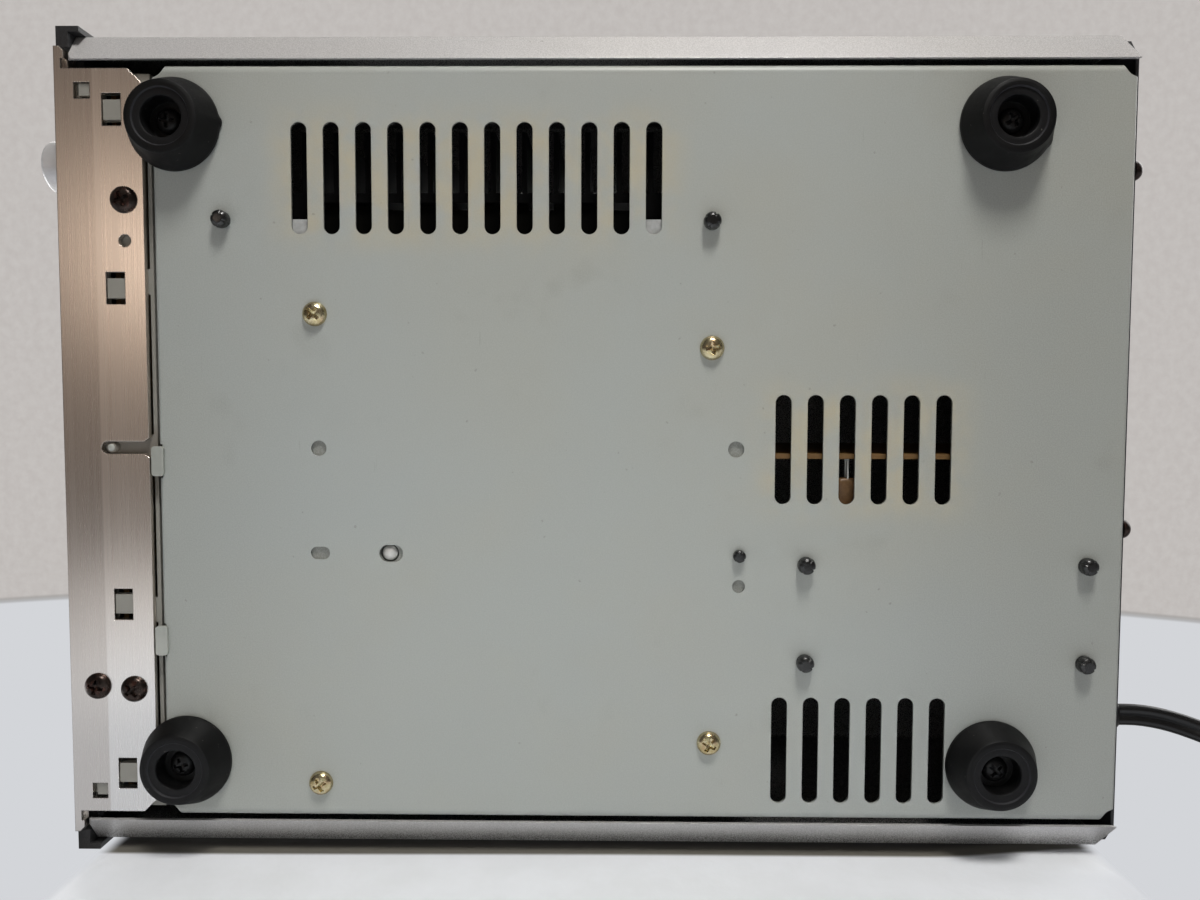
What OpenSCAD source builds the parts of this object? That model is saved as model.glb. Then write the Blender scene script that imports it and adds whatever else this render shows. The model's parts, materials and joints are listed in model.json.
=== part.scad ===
// Mini hi-fi system with a disc tray, standing on four rubber feet.
// X is to the viewer's right, Y is towards the rear and Z is up. The feet stand on Z = 0.

/* [Case] */
// Width over the side walls of the cover
cover_w = 258; // [256:1:290]
// Height of the case above the underside of the bottom plate
case_h = 100; // [99:1:140]
// Sheet thickness of the cover
cover_t = 1.2; // [0.8:0.1:1.6]
// Width of the bevel along the lower edges of the cover
bevel = 8.8; // [7:0.2:9.4]
// Height of that bevel
bevel_h = 6.3; // [5:0.1:9]
// Outer radius of the upper edges of the cover
cover_r = 3; // [2:0.5:6]
// Gap between the bevel and the bottom plate
seam = 1.5; // [1:0.1:2]
// Depth of the bottom plate
plate_d = 303.6; // [303:0.2:340]
// Sheet thickness of the bottom plate and the rear panel
plate_t = 1; // [0.8:0.1:1.2]
// Outer radius of the rolled side edges of the bottom plate
plate_r = 2.8; // [1.6:0.1:3]
// Outer radius of the folded front and rear edges of the bottom plate
fold_r = 1.4; // [1.4:0.1:3]
// Height of the upturned edges of the bottom plate
plate_edge = 9; // [6:0.5:9.5]
// Radius of the reliefs at the corners of the bottom plate
corner_relief = 3; // [3:0.5:6]

/* [Vent slots] */
// Width of a vent slot
slot_w = 5; // [3:0.5:6]
// Length of a vent slot
slot_len = 34.3; // [20:0.1:36]
// Distance between neighbouring slots
slot_pitch = 10; // [8:0.5:10]
// Slots in the long group
long_count = 12; // [8:1:12]
// Slots in each short group
short_count = 6; // [3:1:6]

/* [Feet] */
// Height of a foot
foot_h = 10; // [8:0.5:20]
// Diameter of a foot at the plate
foot_base_d = 28.6; // [24:0.2:32]
// Diameter of a foot at its tip
foot_tip_d = 21.4; // [20:0.2:24]
// Distance from a foot's axis to the side edge of the plate
foot_inset = 18.7; // [17:0.1:22]
// Distance from the axes of the front feet to the front edge of the plate
foot_front = 7.3; // [6:0.1:12]
// Distance from the axes of the rear feet to the rear edge of the plate
foot_rear = 40.2; // [30:0.2:44]

/* [Front] */
// Thickness of the aluminium front panel
panel_t = 3; // [2.5:0.1:4]
// Depth of the flange under the unit
flange_d = 27; // [26:0.5:32]
// Sheet thickness of the flange
flange_t = 2; // [1.5:0.1:2.2]
// Gap between the flange and the bottom plate
flange_gap = 3.15; // [2.8:0.05:4]
// How far a front cheek stands out beyond the cover
cheek_out = 1.9; // [1:0.1:4]
// Diameter of the volume knob
knob_d = 17; // [12:0.5:26]
// How far the volume knob reaches in front of the panel
knob_out = 15.2; // [12:0.2:22]
// Height of the knob's axis above the underside of the plate
knob_z = 25; // [22:0.5:30]
// Distance from the knob's axis to the middle
knob_x = 93; // [80:0.5:95]
// How far the keys stand out of the panel
key_out = 1.6; // [1:0.1:3]
// Travel of a key
key_travel = 1; // [0.5:0.1:1.2]
// Width of the display window
window_w = 124; // [100:1:130]
// Height of the display window
window_h = 26; // [18:1:28]

/* [Disc loader] */
// Distance of the loader's middle from the middle of the case
loader_x = -32.75; // [-34:0.25:-32]
// Distance of the disc's axis from the front edge of the plate
disc_y = 50.75; // [48:0.25:56]
// Height of the loader above the underside of the plate
loader_z = 48; // [48:0.5:50]
// Travel of the tray
tray_travel = 145; // [120:1:145]
// Width of the tray door
door_w = 140; // [136:1:142]
// Height of the tray door
door_h = 18; // [16:0.5:19]
// Diameter of the disc well in the tray
well_d = 121; // [120.5:0.1:122]
// Distance between the front screws of the loader
loader_front_span = 149.5; // [148:0.5:152]
// Distance between the rear screws of the loader
loader_rear_span = 125.4; // [120:0.2:128]
// Travel of the pickup
pickup_travel = 35; // [25:1:35]

/* [Rear] */
// How far the jacks reach behind the rear panel
jack_out = 10; // [8:0.5:13]
// Diameter of a jack's barrel
jack_d = 8.4; // [8:0.1:9]
// Diameter of the hole in a jack
jack_bore = 3.3; // [3.1:0.1:3.6]
// Distance between neighbouring jacks
jack_pitch = 14; // [12.5:0.5:16]
// Diameter of the headphone socket
phones_bore = 6.4; // [6.4:0.1:7]

/* [Cord] */
// Width of the flat twin cord
cord_w = 7; // [6:0.1:7.2]
// Thickness of the flat twin cord
cord_t = 3.5; // [3:0.1:3.6]
// Turns in each of the two layers of the coil
coil_turns = 3; // [2:1:3]
// Distance between neighbouring turns
coil_pitch = 8.4; // [8.2:0.1:10]
// Distance between the two layers
coil_layer = 4.2; // [4.1:0.1:5]
// Radius at the middle of the turns
coil_r = 41; // [40:0.5:44]

/* [Hidden] */
$fn = 48;
// clearance between pieces that move past each other, and between fixed pieces
run = 0.3;
fit = 0.2;
// clearance of a shaft in its hole
bear = 0.04;

// half widths, outwards from the middle
cover_hw = cover_w / 2;
lower_hw = cover_hw - bevel;
plate_hw = lower_hw - seam;
flange_hw = plate_hw - 1.2;
panel_hw = cover_hw - 4.7;
cheek_hw = cover_hw + cheek_out;

// the case is centred between the knob's face and the jacks' ends
panel_reach = flange_d + flange_gap;
depth = knob_out + panel_reach + plate_d + plate_t + jack_out;
plate_y = -depth / 2 + knob_out + panel_reach;
face_y = -panel_reach;
panel_back = face_y + panel_t;
cover_front = panel_back + 1;
rear_in = plate_d;
rear_out = plate_d + plate_t;
cheek_z = 2;
rear_low = 2.2;
cover_nick = 3.2;
cover_ease = 1.6;
flange_z = 0.4;

// feet
foot_x = plate_hw - foot_inset;
foot_y = [foot_front, plate_d - foot_rear];
foot_bore = 2.1;
foot_screw_z = -foot_h + 6.6;

// front frame, front board and the keys between them
frame_y = panel_back + 0.1;
frame_t = 2.5;
frame_back = frame_y + frame_t;
board_y = frame_back + 8.6;
board_t = 1.6;
board_top = loader_z + 14;
bracket_z = flange_z + flange_t + 0.3;
bracket_t = 1.2;
bracket_hw = flange_hw - 1;
wall_y = [-2.7, -1.5];
relief_n = 4;
relief_d = 2.1;
relief_pitch = 2 * (bracket_hw - 12) / relief_n;
relief_len = relief_pitch - 8;
key_z = loader_z + 5;
key_side = 9.7;
key_pitch = 17;
key_x = [for (i = [3 : -1 : 0]) plate_hw - key_side - i * key_pitch];
key_w = 13;
key_h = 6.5;
open_key_x = plate_hw - 57.7;
open_key_z = loader_z + 28;
// power button and headphone jack, near the middle of the strip between the window and the panel's end
power_off = 1.825;
power_x = (loader_x - window_w / 2 - panel_hw) / 2 + power_off;
power_z = key_z - 10;
power_d = 9;
power_travel = 2.5;
phones_z = knob_z - 7;
phones_d = 11;
key_stop = 1.4;
window_z = loader_z - 5;
window_lip = 1.6;
shaft_d = 6;
bush_d = 9;
frame_boss = [
    [26.7 - plate_hw, 12], [loader_x + 70, 12], [plate_hw - 70.7, 44], [plate_hw - 6.7, 12],
    [20.7 - plate_hw, 56]
];

// clip windows, pegs and the keyhole in the flange
clip_w = 10;
clip_d = 6;
tongue_hw = 3.1;
clip_y = face_y + 17.6;
clip_x = [50, flange_hw - 12.5];
peg_x = flange_hw - 6.7;
peg_y = face_y + 8.5;
peg_w = 5;
key_slot_w = 4;
key_slot_y = face_y + 13.8;
hook_x = [-4.2, -61.4];
hook_w = 9.4;
hook_r = 1;
hook_y = [-1.9, 1.9];
hook_wall = 1;
hook_gap = 0.6;
notch_d = 1.2;
panel_screw = [[77.3, -9.3], [-76.5, -21.4], [-77.4, -9.75]];
panel_screw_d = 8.4;
flange_hole = [64.7, -9.3, 3.9];

// vent groups: middle of the slots across, first slot, count
vents = [
    [plate_hw - 34.9, 45.7, long_count], [0, 196.6, short_count], [22.7 - plate_hw, 196.4, short_count]
];

// posts of the loader
rear_shift = 1.75;
post_y = [50, 174.1];
post_xy = [
    [loader_x + loader_front_span / 2, post_y[0]],
    [loader_x - loader_front_span / 2, post_y[0]],
    [loader_x + rear_shift + loader_rear_span / 2, post_y[1]],
    [loader_x + rear_shift - loader_rear_span / 2, post_y[1]]
];
post_d = 9;
post_hole = 3.4;
// a pin with a domed end, off the middle of its oval hole
dome_xy = [-33.25, 72.6];
dome_off = 0.6;
dome_d = 4.8;
dome_r = 3.2;
dome_low = 0.3;
stiff_x = [loader_x - 15.25, loader_x + 44.75];
stiff_y = [post_y[0] - 8, post_y[1] + 12.9];
stiff_t = 0.8;

// nylon supports and boards
main_support = [[plate_hw - 47.7, 21.6], [plate_hw - 48.2, 173.7]];
supply_x = [-67.4, -36.3];
supply_y = [plate_d - 99.5, plate_d - 11.5];
wire_support = [-33.5, 183.1];
wire_foot = 9;
support_tip = 4;
support_neck_d = 4.8;
support_hole = 5;
main_board_z = 10;
power_board_z = 8;
board_bore = 3.6;
signal_x = -2.2;
signal_y = post_y[1] + 13.9;
signal_z = [3, 78];

// heat sink, and the main board between it and the loader's posts
sink_x = post_xy[0][0] + 36;
sink_y = 44;
sink_z = 8;
sink_t = 3;
sink_len = 114;
sink_h = 60;
fin_pitch = 10;
fin_t = 1.6;
fin_count = floor((sink_len - fin_t) / fin_pitch) + 1;
fin_out = 19;
sink_foot_w = 10;
sink_foot_over = 3;
sink_foot_y = [sink_y - sink_foot_over, sink_y + sink_len + sink_foot_over - sink_foot_w];
sink_foot_t = 1.5;
main_x = [post_xy[0][0] + 6, sink_x - 2];
main_y = [main_support[0][1] - 7.6, main_support[1][1] + 10.3];
cap_y = [70, 96, 122];
cap_d = 18;
cap_h = 32;
chip_y = [60, 84, 108, 132];
chip_w = 16;
chip_t = 4.8;
chip_h = 18.4;

// transformer: a core with two windows and a winding through them
core_w = 41;
core_d = 42;
core_h = 36;
core_z = 4;
core_leg = 11;
core_window = 9;
core_bar = 8;
winding_out = 8;

// loader, heights above loader_z
tray_hw = 64;
tray_z = 22;
tray_h = 8;
well_floor = 24.5;
tray_front = panel_back - disc_y;
tray_back = 108;
slot_hw = 20;
rail_w = 2.5;
rail_z = 25;
rail_h = 3;
wall_in = tray_hw + rail_w + run;
wall_t = 3;
wall_top = 36;
frame_front = board_y + board_t + 1 - disc_y;
frame_rear = post_y[1] - disc_y + 8;
door_z = tray_z - 7;
rack_u = 55;
rack_m = 1;
pinion_n = 16;
wheel_m = 0.8;
wheel_n = 36;
small_n = 12;
drive_u = rack_u - rack_m * pinion_n / 2;
drive_v = -45;
pulley_u = drive_u - wheel_m * (wheel_n + small_n) / 2;
motor_u = -14;
axle_d = 4;
pulley_groove = 10;
motor_groove = 3;
belt_t = 1.4;
belt_z = [5, 6.6];
traverse_z = 8;
traverse_t = 2;
traverse_hw = 44;
traverse_v = [-27, 103];
spindle_d = 2.4;
platter_d = 30;
seat_z = 25.5;
rod_u = 13;
rod_d = 3;
rod_z = 14.5;
pickup_v = [17, 45];
pickup_hw = 17;
feed_m = 0.8;
feed_n = 20;
feed_rack_u = -20.2;
feed_u = feed_rack_u - feed_m * feed_n / 2;
feed_v = pickup_v[0] + pickup_travel + 5;
feed_pin = 3;
bridge_t = 1.2;
clamper_neck = 18;

// rear panel
jack_x = 5.6;
jack_z = [for (i = [0 : 3]) 31 + i * jack_pitch];
terminal_x = 76;
terminal_z = [26, 52];
terminal_w = 60;
terminal_out = jack_out - 1;
lever_pitch = 13.6;
lever_w = 9;
lever_z = 37;
lever_h = 13;
lever_y = rear_out + 5;
lever_rod = 1.6;
bushing_x = -88;
bushing_z = plate_edge + 4;
bushing_w = 8;
bushing_h = 7;
bushing_out = 5.5;
rear_screw = [[87, 4.5], [-25, 4.5], [-100, case_h - 9], [0, case_h - 9], [100, case_h - 9]];

// cord: the floor lies foot_h below the plate
floor_z = -foot_h;
cord_z = floor_z + cord_t / 2 + 0.1;
cord_y = rear_out + bushing_out;
fall = bushing_z - cord_z;
fall_r = 32;
fall_angle = acos(1 - fall / (2 * fall_r));
fall_run = 2 * fall_r * sin(fall_angle);
cord_lead = 15;
// the cord veers to the left on its way to the floor
veer = 13;
veer_from = 3;
veer_run = 57;
function veer_part(y) = min(1, max(0, y - veer_from) / veer_run);
function veered(y) = let (t = veer_part(y)) bushing_x - veer * t * t * (3 - 2 * t);
cord_x = bushing_x - veer;
coil_out = coil_r + coil_pitch * coil_turns / 2;
coil_x = cord_x + coil_out;
coil_y = cord_y + cord_lead + fall_run + 24;
lead_in = cord_w;
fall_steps = 6;
fall_route = concat(
    [[0, bushing_z], [veer_from, bushing_z], [3 * veer_from, bushing_z]],
    [for (i = [0 : fall_steps]) let (a = fall_angle * i / fall_steps)
        [cord_lead + fall_r * sin(a), bushing_z - fall_r * (1 - cos(a))]],
    [for (i = [fall_steps - 1 : -1 : 0]) let (a = fall_angle * i / fall_steps)
        [cord_lead + fall_run - fall_r * sin(a), cord_z + fall_r * (1 - cos(a))]],
    [[cord_lead + fall_run + 24 - lead_in, cord_z]]
);
cord_route = [for (p = fall_route) [veered(p[0]), cord_y + p[0], p[1]]];

// outline of the twin cord, across and up
cord_outline = [
    [0.5 * cord_w, 0], [0.27 * cord_w, 0.5 * cord_t], [-0.27 * cord_w, 0.5 * cord_t],
    [-0.5 * cord_w, 0], [-0.27 * cord_w, -0.5 * cord_t], [0.27 * cord_w, -0.5 * cord_t]
];

// coil: spirals in on the floor, climbs over half a turn and spirals out again
ring_n = 24;
turn_n = 2 * coil_turns * ring_n;
function coil_radius(i) = coil_out - coil_pitch * (coil_turns - abs(i / ring_n - coil_turns));
function coil_lift(i) = coil_layer * min(1, max(0, (i / ring_n - coil_turns + 0.25) / 0.5));
function coil_point(i) = let (a = 180 - 360 * i / ring_n)
    [coil_x + coil_radius(i) * cos(a), coil_y + coil_radius(i) * sin(a), cord_z + coil_lift(i)];
// the plug's body starts where the turn below it has curved away from its side
plug_w = 24;
plug_neck = 12;
plug_side = plug_w / 2 + cord_w / 2 + 0.6;
lead_out = max(lead_in, sqrt(pow(coil_out, 2) - pow(coil_out - plug_side, 2)) - plug_neck);
coil_route = concat(
    [[cord_x, coil_y - lead_in, cord_z]],
    [for (i = [0 : turn_n]) coil_point(i)],
    [[cord_x, coil_y + lead_out, cord_z + coil_layer]]
);
plug_y = coil_y + lead_out;
plug_z = cord_z + coil_layer;

// places, profiles and small shapes

module on_plate() {
    translate([0, plate_y, foot_h]) children();
}

module on_loader() {
    translate([loader_x, plate_y + disc_y, foot_h + loader_z]) children();
}

// a box from its lower and upper corners
module box(a, b) {
    translate(a) cube(b - a);
}

// a flat shape drawn in X and Z, carried along Y
module along_y(y0, y1) {
    translate([0, y1, 0]) rotate([90, 0, 0]) linear_extrude(y1 - y0) children();
}

module along_z(z0, z1) {
    translate([0, 0, z0]) linear_extrude(z1 - z0) children();
}

module rod_y(x, z, d, y0, y1) {
    along_y(y0, y1) translate([x, z]) circle(d = d);
}

module round_slot(len, w) {
    square([len - w, w], center = true);
    translate([(len - w) / 2, 0]) circle(d = w);
    translate([(w - len) / 2, 0]) circle(d = w);
}

module round_rect(w, h, r) {
    square([w - 2 * r, h], center = true);
    square([w, h - 2 * r], center = true);
    for (x = [r - w / 2, w / 2 - r], y = [r - h / 2, h / 2 - r]) {
        translate([x, y]) circle(r);
    }
}

module rect(w, h) {
    square([w, h], center = true);
}

// pan head screw with a cross recess, its head below the surface it holds
module pan_screw(head_d, head_h, shank_d, shank_len) {
    difference() {
        union() {
            translate([0, 0, -0.55 * head_h]) cylinder(d = head_d, h = 0.55 * head_h);
            translate([0, 0, -head_h]) {
                cylinder(d1 = 0.62 * head_d, d2 = head_d, h = 0.45 * head_h);
            }
        }
        for (a = [0, 90]) {
            rotate(a) translate([-0.27 * head_d, -0.055 * head_d, -head_h - 1]) {
                cube([0.54 * head_d, 0.11 * head_d, 1 + 0.6 * head_h]);
            }
        }
    }
    cylinder(d = shank_d, h = shank_len);
}

// outline of the cover, made smaller by an inset
module case_outline(inset) {
    w = cover_hw - inset;
    h = case_h - inset;
    r = max(0.4, cover_r - inset);
    slant = norm([bevel, bevel_h]);
    low = lower_hw - inset * slant / bevel_h;
    b = bevel_h + inset * (slant - bevel_h) / bevel;
    polygon([[-low, 0], [low, 0], [w, b], [w, h - r], [-w, h - r], [-w, b]]);
    translate([r - w, h / 2]) square([2 * (w - r), h / 2]);
    for (s = [-1, 1]) {
        translate([s * (w - r), h - r]) circle(r);
    }
}

module vent_slots(z0, z1) {
    for (v = vents, i = [0 : v[2] - 1]) {
        translate([v[0], v[1] + i * slot_pitch, 0]) along_z(z0, z1) round_slot(slot_len, slot_w);
    }
}

// involute gear outline; thin takes away some of each tooth for play
function inv(a) = tan(a) * 180 / PI - a;
function flank(r, rb, rp, half) = half + inv(20) - inv(acos(min(1, rb / r)));
module gear_outline(m, n, thin) {
    rp = m * n / 2;
    rb = rp * cos(20);
    ra = rp + 0.9 * m;
    rf = rp - 1.25 * m;
    r0 = max(rb, rf);
    half = 90 / n - thin / rp * 90 / PI;
    radii = concat(rf < rb ? [rf] : [], [for (k = [0 : 4]) r0 + (ra - r0) * k / 4]);
    last = len(radii) - 1;
    polygon([for (i = [0 : n - 1]) each concat(
        [for (k = [0 : last]) let (a = i * 360 / n - flank(max(radii[k], rb), rb, rp, half))
            radii[k] * [cos(a), sin(a)]],
        [for (k = [last : -1 : 0]) let (a = i * 360 / n + flank(max(radii[k], rb), rb, rp, half))
            radii[k] * [cos(a), sin(a)]]
    )]);
}

// rack along Y whose teeth point to -X, with a gap between two teeth at y = 0
module rack_outline(m, y0, y1, back, thin) {
    p = PI * m;
    w = p / 2 - thin;
    top = 0.9 * m * tan(20);
    low = 1.25 * m * tan(20);
    translate([1.25 * m, y0]) square([back, y1 - y0]);
    for (i = [ceil(y0 / p + 0.1) : floor(y1 / p - 1.1)]) {
        translate([0, (i + 0.5) * p]) polygon([
            [1.3 * m, -w / 2 - low], [-0.9 * m, top - w / 2],
            [-0.9 * m, w / 2 - top], [1.3 * m, w / 2 + low]
        ]);
    }
}

// loop round two circles: radius ra at the origin, radius rb at x = -d
module loop_outline(ra, rb, d) {
    a = acos((rb - ra) / d);
    polygon(concat(
        [for (i = [0 : 24]) let (t = a * (i / 12 - 1)) ra * [cos(t), sin(t)]],
        [for (i = [0 : 24]) let (t = a + (180 - a) * i / 12) [rb * cos(t) - d, rb * sin(t)]]
    ));
}

// case

module bottom_plate() {
    color("#9aa097") on_plate() difference() {
        union() {
            // stiffening sheet welded to the inside, which backs the small holes
            difference() {
                box([stiff_x[0], stiff_y[0], plate_t], [stiff_x[1], stiff_y[1], plate_t + stiff_t]);
                translate([dome_xy[0], dome_xy[1], 0]) cylinder(d = dome_d + 1, h = 5);
                translate([wire_support[0], wire_support[1], 0]) cylinder(d = wire_foot + 1, h = 5);
            }
            intersection() {
                along_y(corner_relief, plate_d - corner_relief) difference() {
                    translate([0, 20]) round_rect(2 * plate_hw, 40, plate_r);
                    translate([0, 20]) {
                        round_rect(2 * (plate_hw - plate_t), 40 - 2 * plate_t, plate_r - plate_t);
                    }
                }
                box([-200, -10, -1], [200, 400, plate_edge]);
            }
            intersection() {
                rotate(90) along_y(corner_relief - plate_hw, plate_hw - corner_relief) difference() {
                    translate([plate_d / 2, 20]) round_rect(plate_d, 40, fold_r);
                    translate([plate_d / 2, 20]) {
                        round_rect(plate_d - 2 * plate_t, 40 - 2 * plate_t, fold_r - plate_t);
                    }
                }
                box([-200, -10, -1], [200, 400, plate_edge]);
            }
        }
        for (x = [-plate_hw, plate_hw], y = [0, plate_d]) {
            translate([x, y, -1]) cylinder(r = 1.4 * corner_relief, h = plate_edge + 2);
        }
        // the front edge is low under the hooks and the front feet
        box([-plate_hw - 1, -1, 4], [plate_hw + 1, plate_r + 1, plate_edge + 1]);
        // notches behind the hooks
        for (x = hook_x) {
            box([x - hook_w / 2 - hook_gap, -1, -1], [x + hook_w / 2 + hook_gap, notch_d, plate_edge + 1]);
        }
        vent_slots(-1, plate_t + 1);
        for (p = post_xy) {
            translate([p[0], p[1], -1]) cylinder(d = post_hole, h = 3);
        }
        for (x = [-foot_x, foot_x], y = foot_y) {
            translate([x, y, -1]) cylinder(d = 2 * foot_bore, h = 3);
        }
        for (p = concat(main_support, [for (x = supply_x, y = supply_y) [x, y]])) {
            translate([p[0], p[1], -1]) cylinder(d = support_hole, h = 3);
        }
        translate([wire_support[0], wire_support[1], -1]) cylinder(d = 3.6, h = 3);
        // small holes, as deep as the plate is thick
        along_z(-1, plate_t) {
            translate([0, 50.7]) circle(d = 4.8);
            translate([0, 181.9]) circle(d = 5);
            translate([wire_support[0] - 9.8, wire_support[1]]) circle(d = 4);
            translate([-33.2, disc_y]) rotate(90) round_slot(6, 4);
            translate([dome_xy[0], dome_xy[1] + dome_off]) rotate(90) round_slot(7.4, 5.3);
        }
        for (s = rear_screw) {
            rod_y(s[0], s[1], 3.2, plate_d - 4, plate_d + 1);
        }
    }
}

module top_cover() {
    color("#b6b4b3") on_plate() difference() {
        along_y(cover_front, rear_out - 0.3) difference() {
            case_outline(0);
            case_outline(cover_t);
            translate([-lower_hw, -1]) square([2 * lower_hw, bevel_h]);
        }
        for (i = [0 : long_count - 1]) {
            translate([vents[0][0], vents[0][1] + i * slot_pitch, 0]) {
                along_z(case_h - 2, case_h + 1) round_slot(slot_len, slot_w);
            }
        }
        // the side walls are nicked at the lower rear and eased at the lower front
        rotate([90, 0, 90]) translate([0, 0, -cover_w]) linear_extrude(2 * cover_w) {
            translate([rear_out - 0.3, 0]) polygon([
                [1, 0.4], [0, 0.4], [-cover_nick, bevel_h], [0, bevel_h + 6], [1, bevel_h + 6]
            ]);
            translate([cover_front, 0]) polygon([[-1, -1], [cover_ease + 1, -1], [-1, cover_ease + 1]]);
        }
    }
}

module rear_panel() {
    color("#26262a") on_plate() difference() {
        along_y(rear_in, rear_out) difference() {
            case_outline(cover_t + fit);
            translate([-cover_w, -1]) square([2 * cover_w, rear_low + 1]);
        }
        for (z = jack_z) {
            rod_y(jack_x, z, jack_d + 1, rear_in - 1, rear_out + 1);
        }
        for (s = rear_screw) {
            rod_y(s[0], s[1], 3.2, rear_in - 1, rear_out + 1);
        }
        along_y(rear_in - 1, rear_out + 1) {
            translate([bushing_x, bushing_z]) rect(bushing_w + 2 * fit, bushing_h + 2 * fit);
        }
        along_y(rear_in - 1, rear_out + 1) {
            translate([terminal_x, (terminal_z[0] + terminal_z[1]) / 2]) rect(terminal_w - 8, 18);
        }
    }
}

module rear_screws() {
    color("#2b2724") on_plate() for (s = rear_screw) {
        translate([s[0], rear_out, s[1]]) rotate([90, 0, 0]) pan_screw(6.4, 3, 3, 5);
    }
}

module foot() {
    color("#1c1c1d") rotate_extrude($fn = 64) polygon([
        [foot_bore, 0], [foot_base_d / 2, 0], [foot_base_d / 2 + 0.1, -1.2],
        [foot_tip_d / 2 + 0.5, 0.8 - foot_h], [foot_tip_d / 2 - 0.4, -foot_h],
        [9.2, -foot_h], [8.8, 0.6 - foot_h], [6.9, 0.6 - foot_h], [6.3, 1.2 - foot_h],
        [6.1, foot_screw_z], [foot_bore, foot_screw_z]
    ]);
}

module foot_front_left() {
    on_plate() translate([-foot_x, foot_y[0], 0]) foot();
}

module foot_front_right() {
    on_plate() translate([foot_x, foot_y[0], 0]) foot();
}

module foot_rear_left() {
    on_plate() translate([-foot_x, foot_y[1], 0]) foot();
}

module foot_rear_right() {
    on_plate() translate([foot_x, foot_y[1], 0]) foot();
}

module foot_screws() {
    color("#3a3735") on_plate() for (x = [-foot_x, foot_x], y = foot_y) {
        translate([x, y, foot_screw_z]) pan_screw(8, 2.4, 2 * foot_bore - 0.4, 9);
    }
}

// front

module key_holes(extra) {
    for (x = key_x) {
        translate([x, key_z]) rect(key_w + 2 * extra, key_h + 2 * extra);
    }
    translate([open_key_x, open_key_z]) rect(key_w + 2 * extra, key_h + 2 * extra);
    translate([power_x, power_z]) circle(d = power_d + 2 * extra);
}

module door_hole(extra) {
    translate([loader_x, loader_z + door_z + door_h / 2]) rect(door_w + 2 * extra, door_h + 2 * extra);
}

module front_panel() {
    color("#c2bbb4") on_plate() {
        difference() {
            union() {
                along_y(face_y, panel_back) {
                    translate([0, (case_h + flange_z) / 2]) rect(2 * panel_hw, case_h - flange_z);
                }
                along_z(flange_z, flange_z + flange_t) polygon([
                    [-flange_hw, face_y + 1], [flange_hw, face_y + 1], [flange_hw, -flange_gap - 4.3],
                    [flange_hw - 4.3, -flange_gap], [4.3 - flange_hw, -flange_gap],
                    [-flange_hw, -flange_gap - 4.3]
                ]);
            }
            along_y(face_y - 1, panel_back + 1) {
                door_hole(run + 0.2);
                key_holes(run);
                translate([loader_x, window_z]) rect(window_w, window_h);
                translate([knob_x, knob_z]) circle(d = bush_d + 0.4);
                translate([power_x, phones_z]) circle(d = phones_d + 0.4);
            }
            along_z(-1, flange_z + flange_t + 0.5) {
                for (s = [-1, 1], x = clip_x) {
                    translate([s * x, clip_y]) rect(clip_w, clip_d);
                }
                for (s = [-1, 1]) {
                    translate([s * peg_x, peg_y]) rect(peg_w, peg_w);
                }
                translate([0, key_slot_y]) circle(d = key_slot_w);
                translate([-key_slot_w / 2, key_slot_y]) square([key_slot_w, 40]);
                translate([0, -flange_gap]) polygon([[-2, -1.6], [2, -1.6], [4, 1], [-4, 1]]);
                translate([flange_hole[0], flange_hole[1]]) circle(d = flange_hole[2]);
                for (p = panel_screw) {
                    translate(p) circle(d = 4.2);
                }
                // relief beside the bend
                for (s = [-1, 1]) {
                    translate([s * (flange_hw + 1.6), panel_back]) rect(3.2, 1.8);
                }
            }
            // chamfer along both ends
            for (s = [-1, 1]) {
                translate([s * panel_hw, panel_back, case_h / 2]) rotate(45) cube([2, 2, 2 * case_h], center = true);
            }
        }
    }
}

module panel_screws() {
    color("#241f1c") on_plate() for (p = panel_screw) {
        translate([p[0], p[1], flange_z]) pan_screw(panel_screw_d, 2.4, 3.8, 5);
    }
}

module front_frame() {
    color("#1e1e20") on_plate() difference() {
        union() {
            along_y(frame_y, frame_back) {
                translate([0, (case_h + 5.5) / 2]) rect(2 * panel_hw - 4, case_h - 9.5);
            }
            // cheeks beside the panel, with a groove that takes the cover's front edge
            for (s = [-1, 1]) {
                box([min(s * (panel_hw + fit), s * cheek_hw), face_y, cheek_z],
                    [max(s * (panel_hw + fit), s * cheek_hw), cover_front - fit, case_h]);
                box([min(s * (cover_hw + fit), s * cheek_hw), face_y + 1, cheek_z],
                    [max(s * (cover_hw + fit), s * cheek_hw), face_y + 7.1, case_h]);
                box([min(s * (panel_hw - 4), s * (panel_hw + 1)), frame_y, 10],
                    [max(s * (panel_hw - 4), s * (panel_hw + 1)), cover_front - fit, case_h - 2]);
            }
            // bosses for the front board
            for (p = frame_boss) {
                rod_y(p[0], p[1], 6, frame_back - 0.5, board_y);
            }
        }
        along_y(face_y - 1, frame_back + 0.1) {
            door_hole(1);
            key_holes(run);
            translate([loader_x, window_z]) rect(window_w - 10, window_h - 6);
            translate([knob_x, knob_z]) circle(d = bush_d + 0.4);
            translate([power_x, phones_z]) circle(d = phones_d + 0.4);
        }
    }
}

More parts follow.
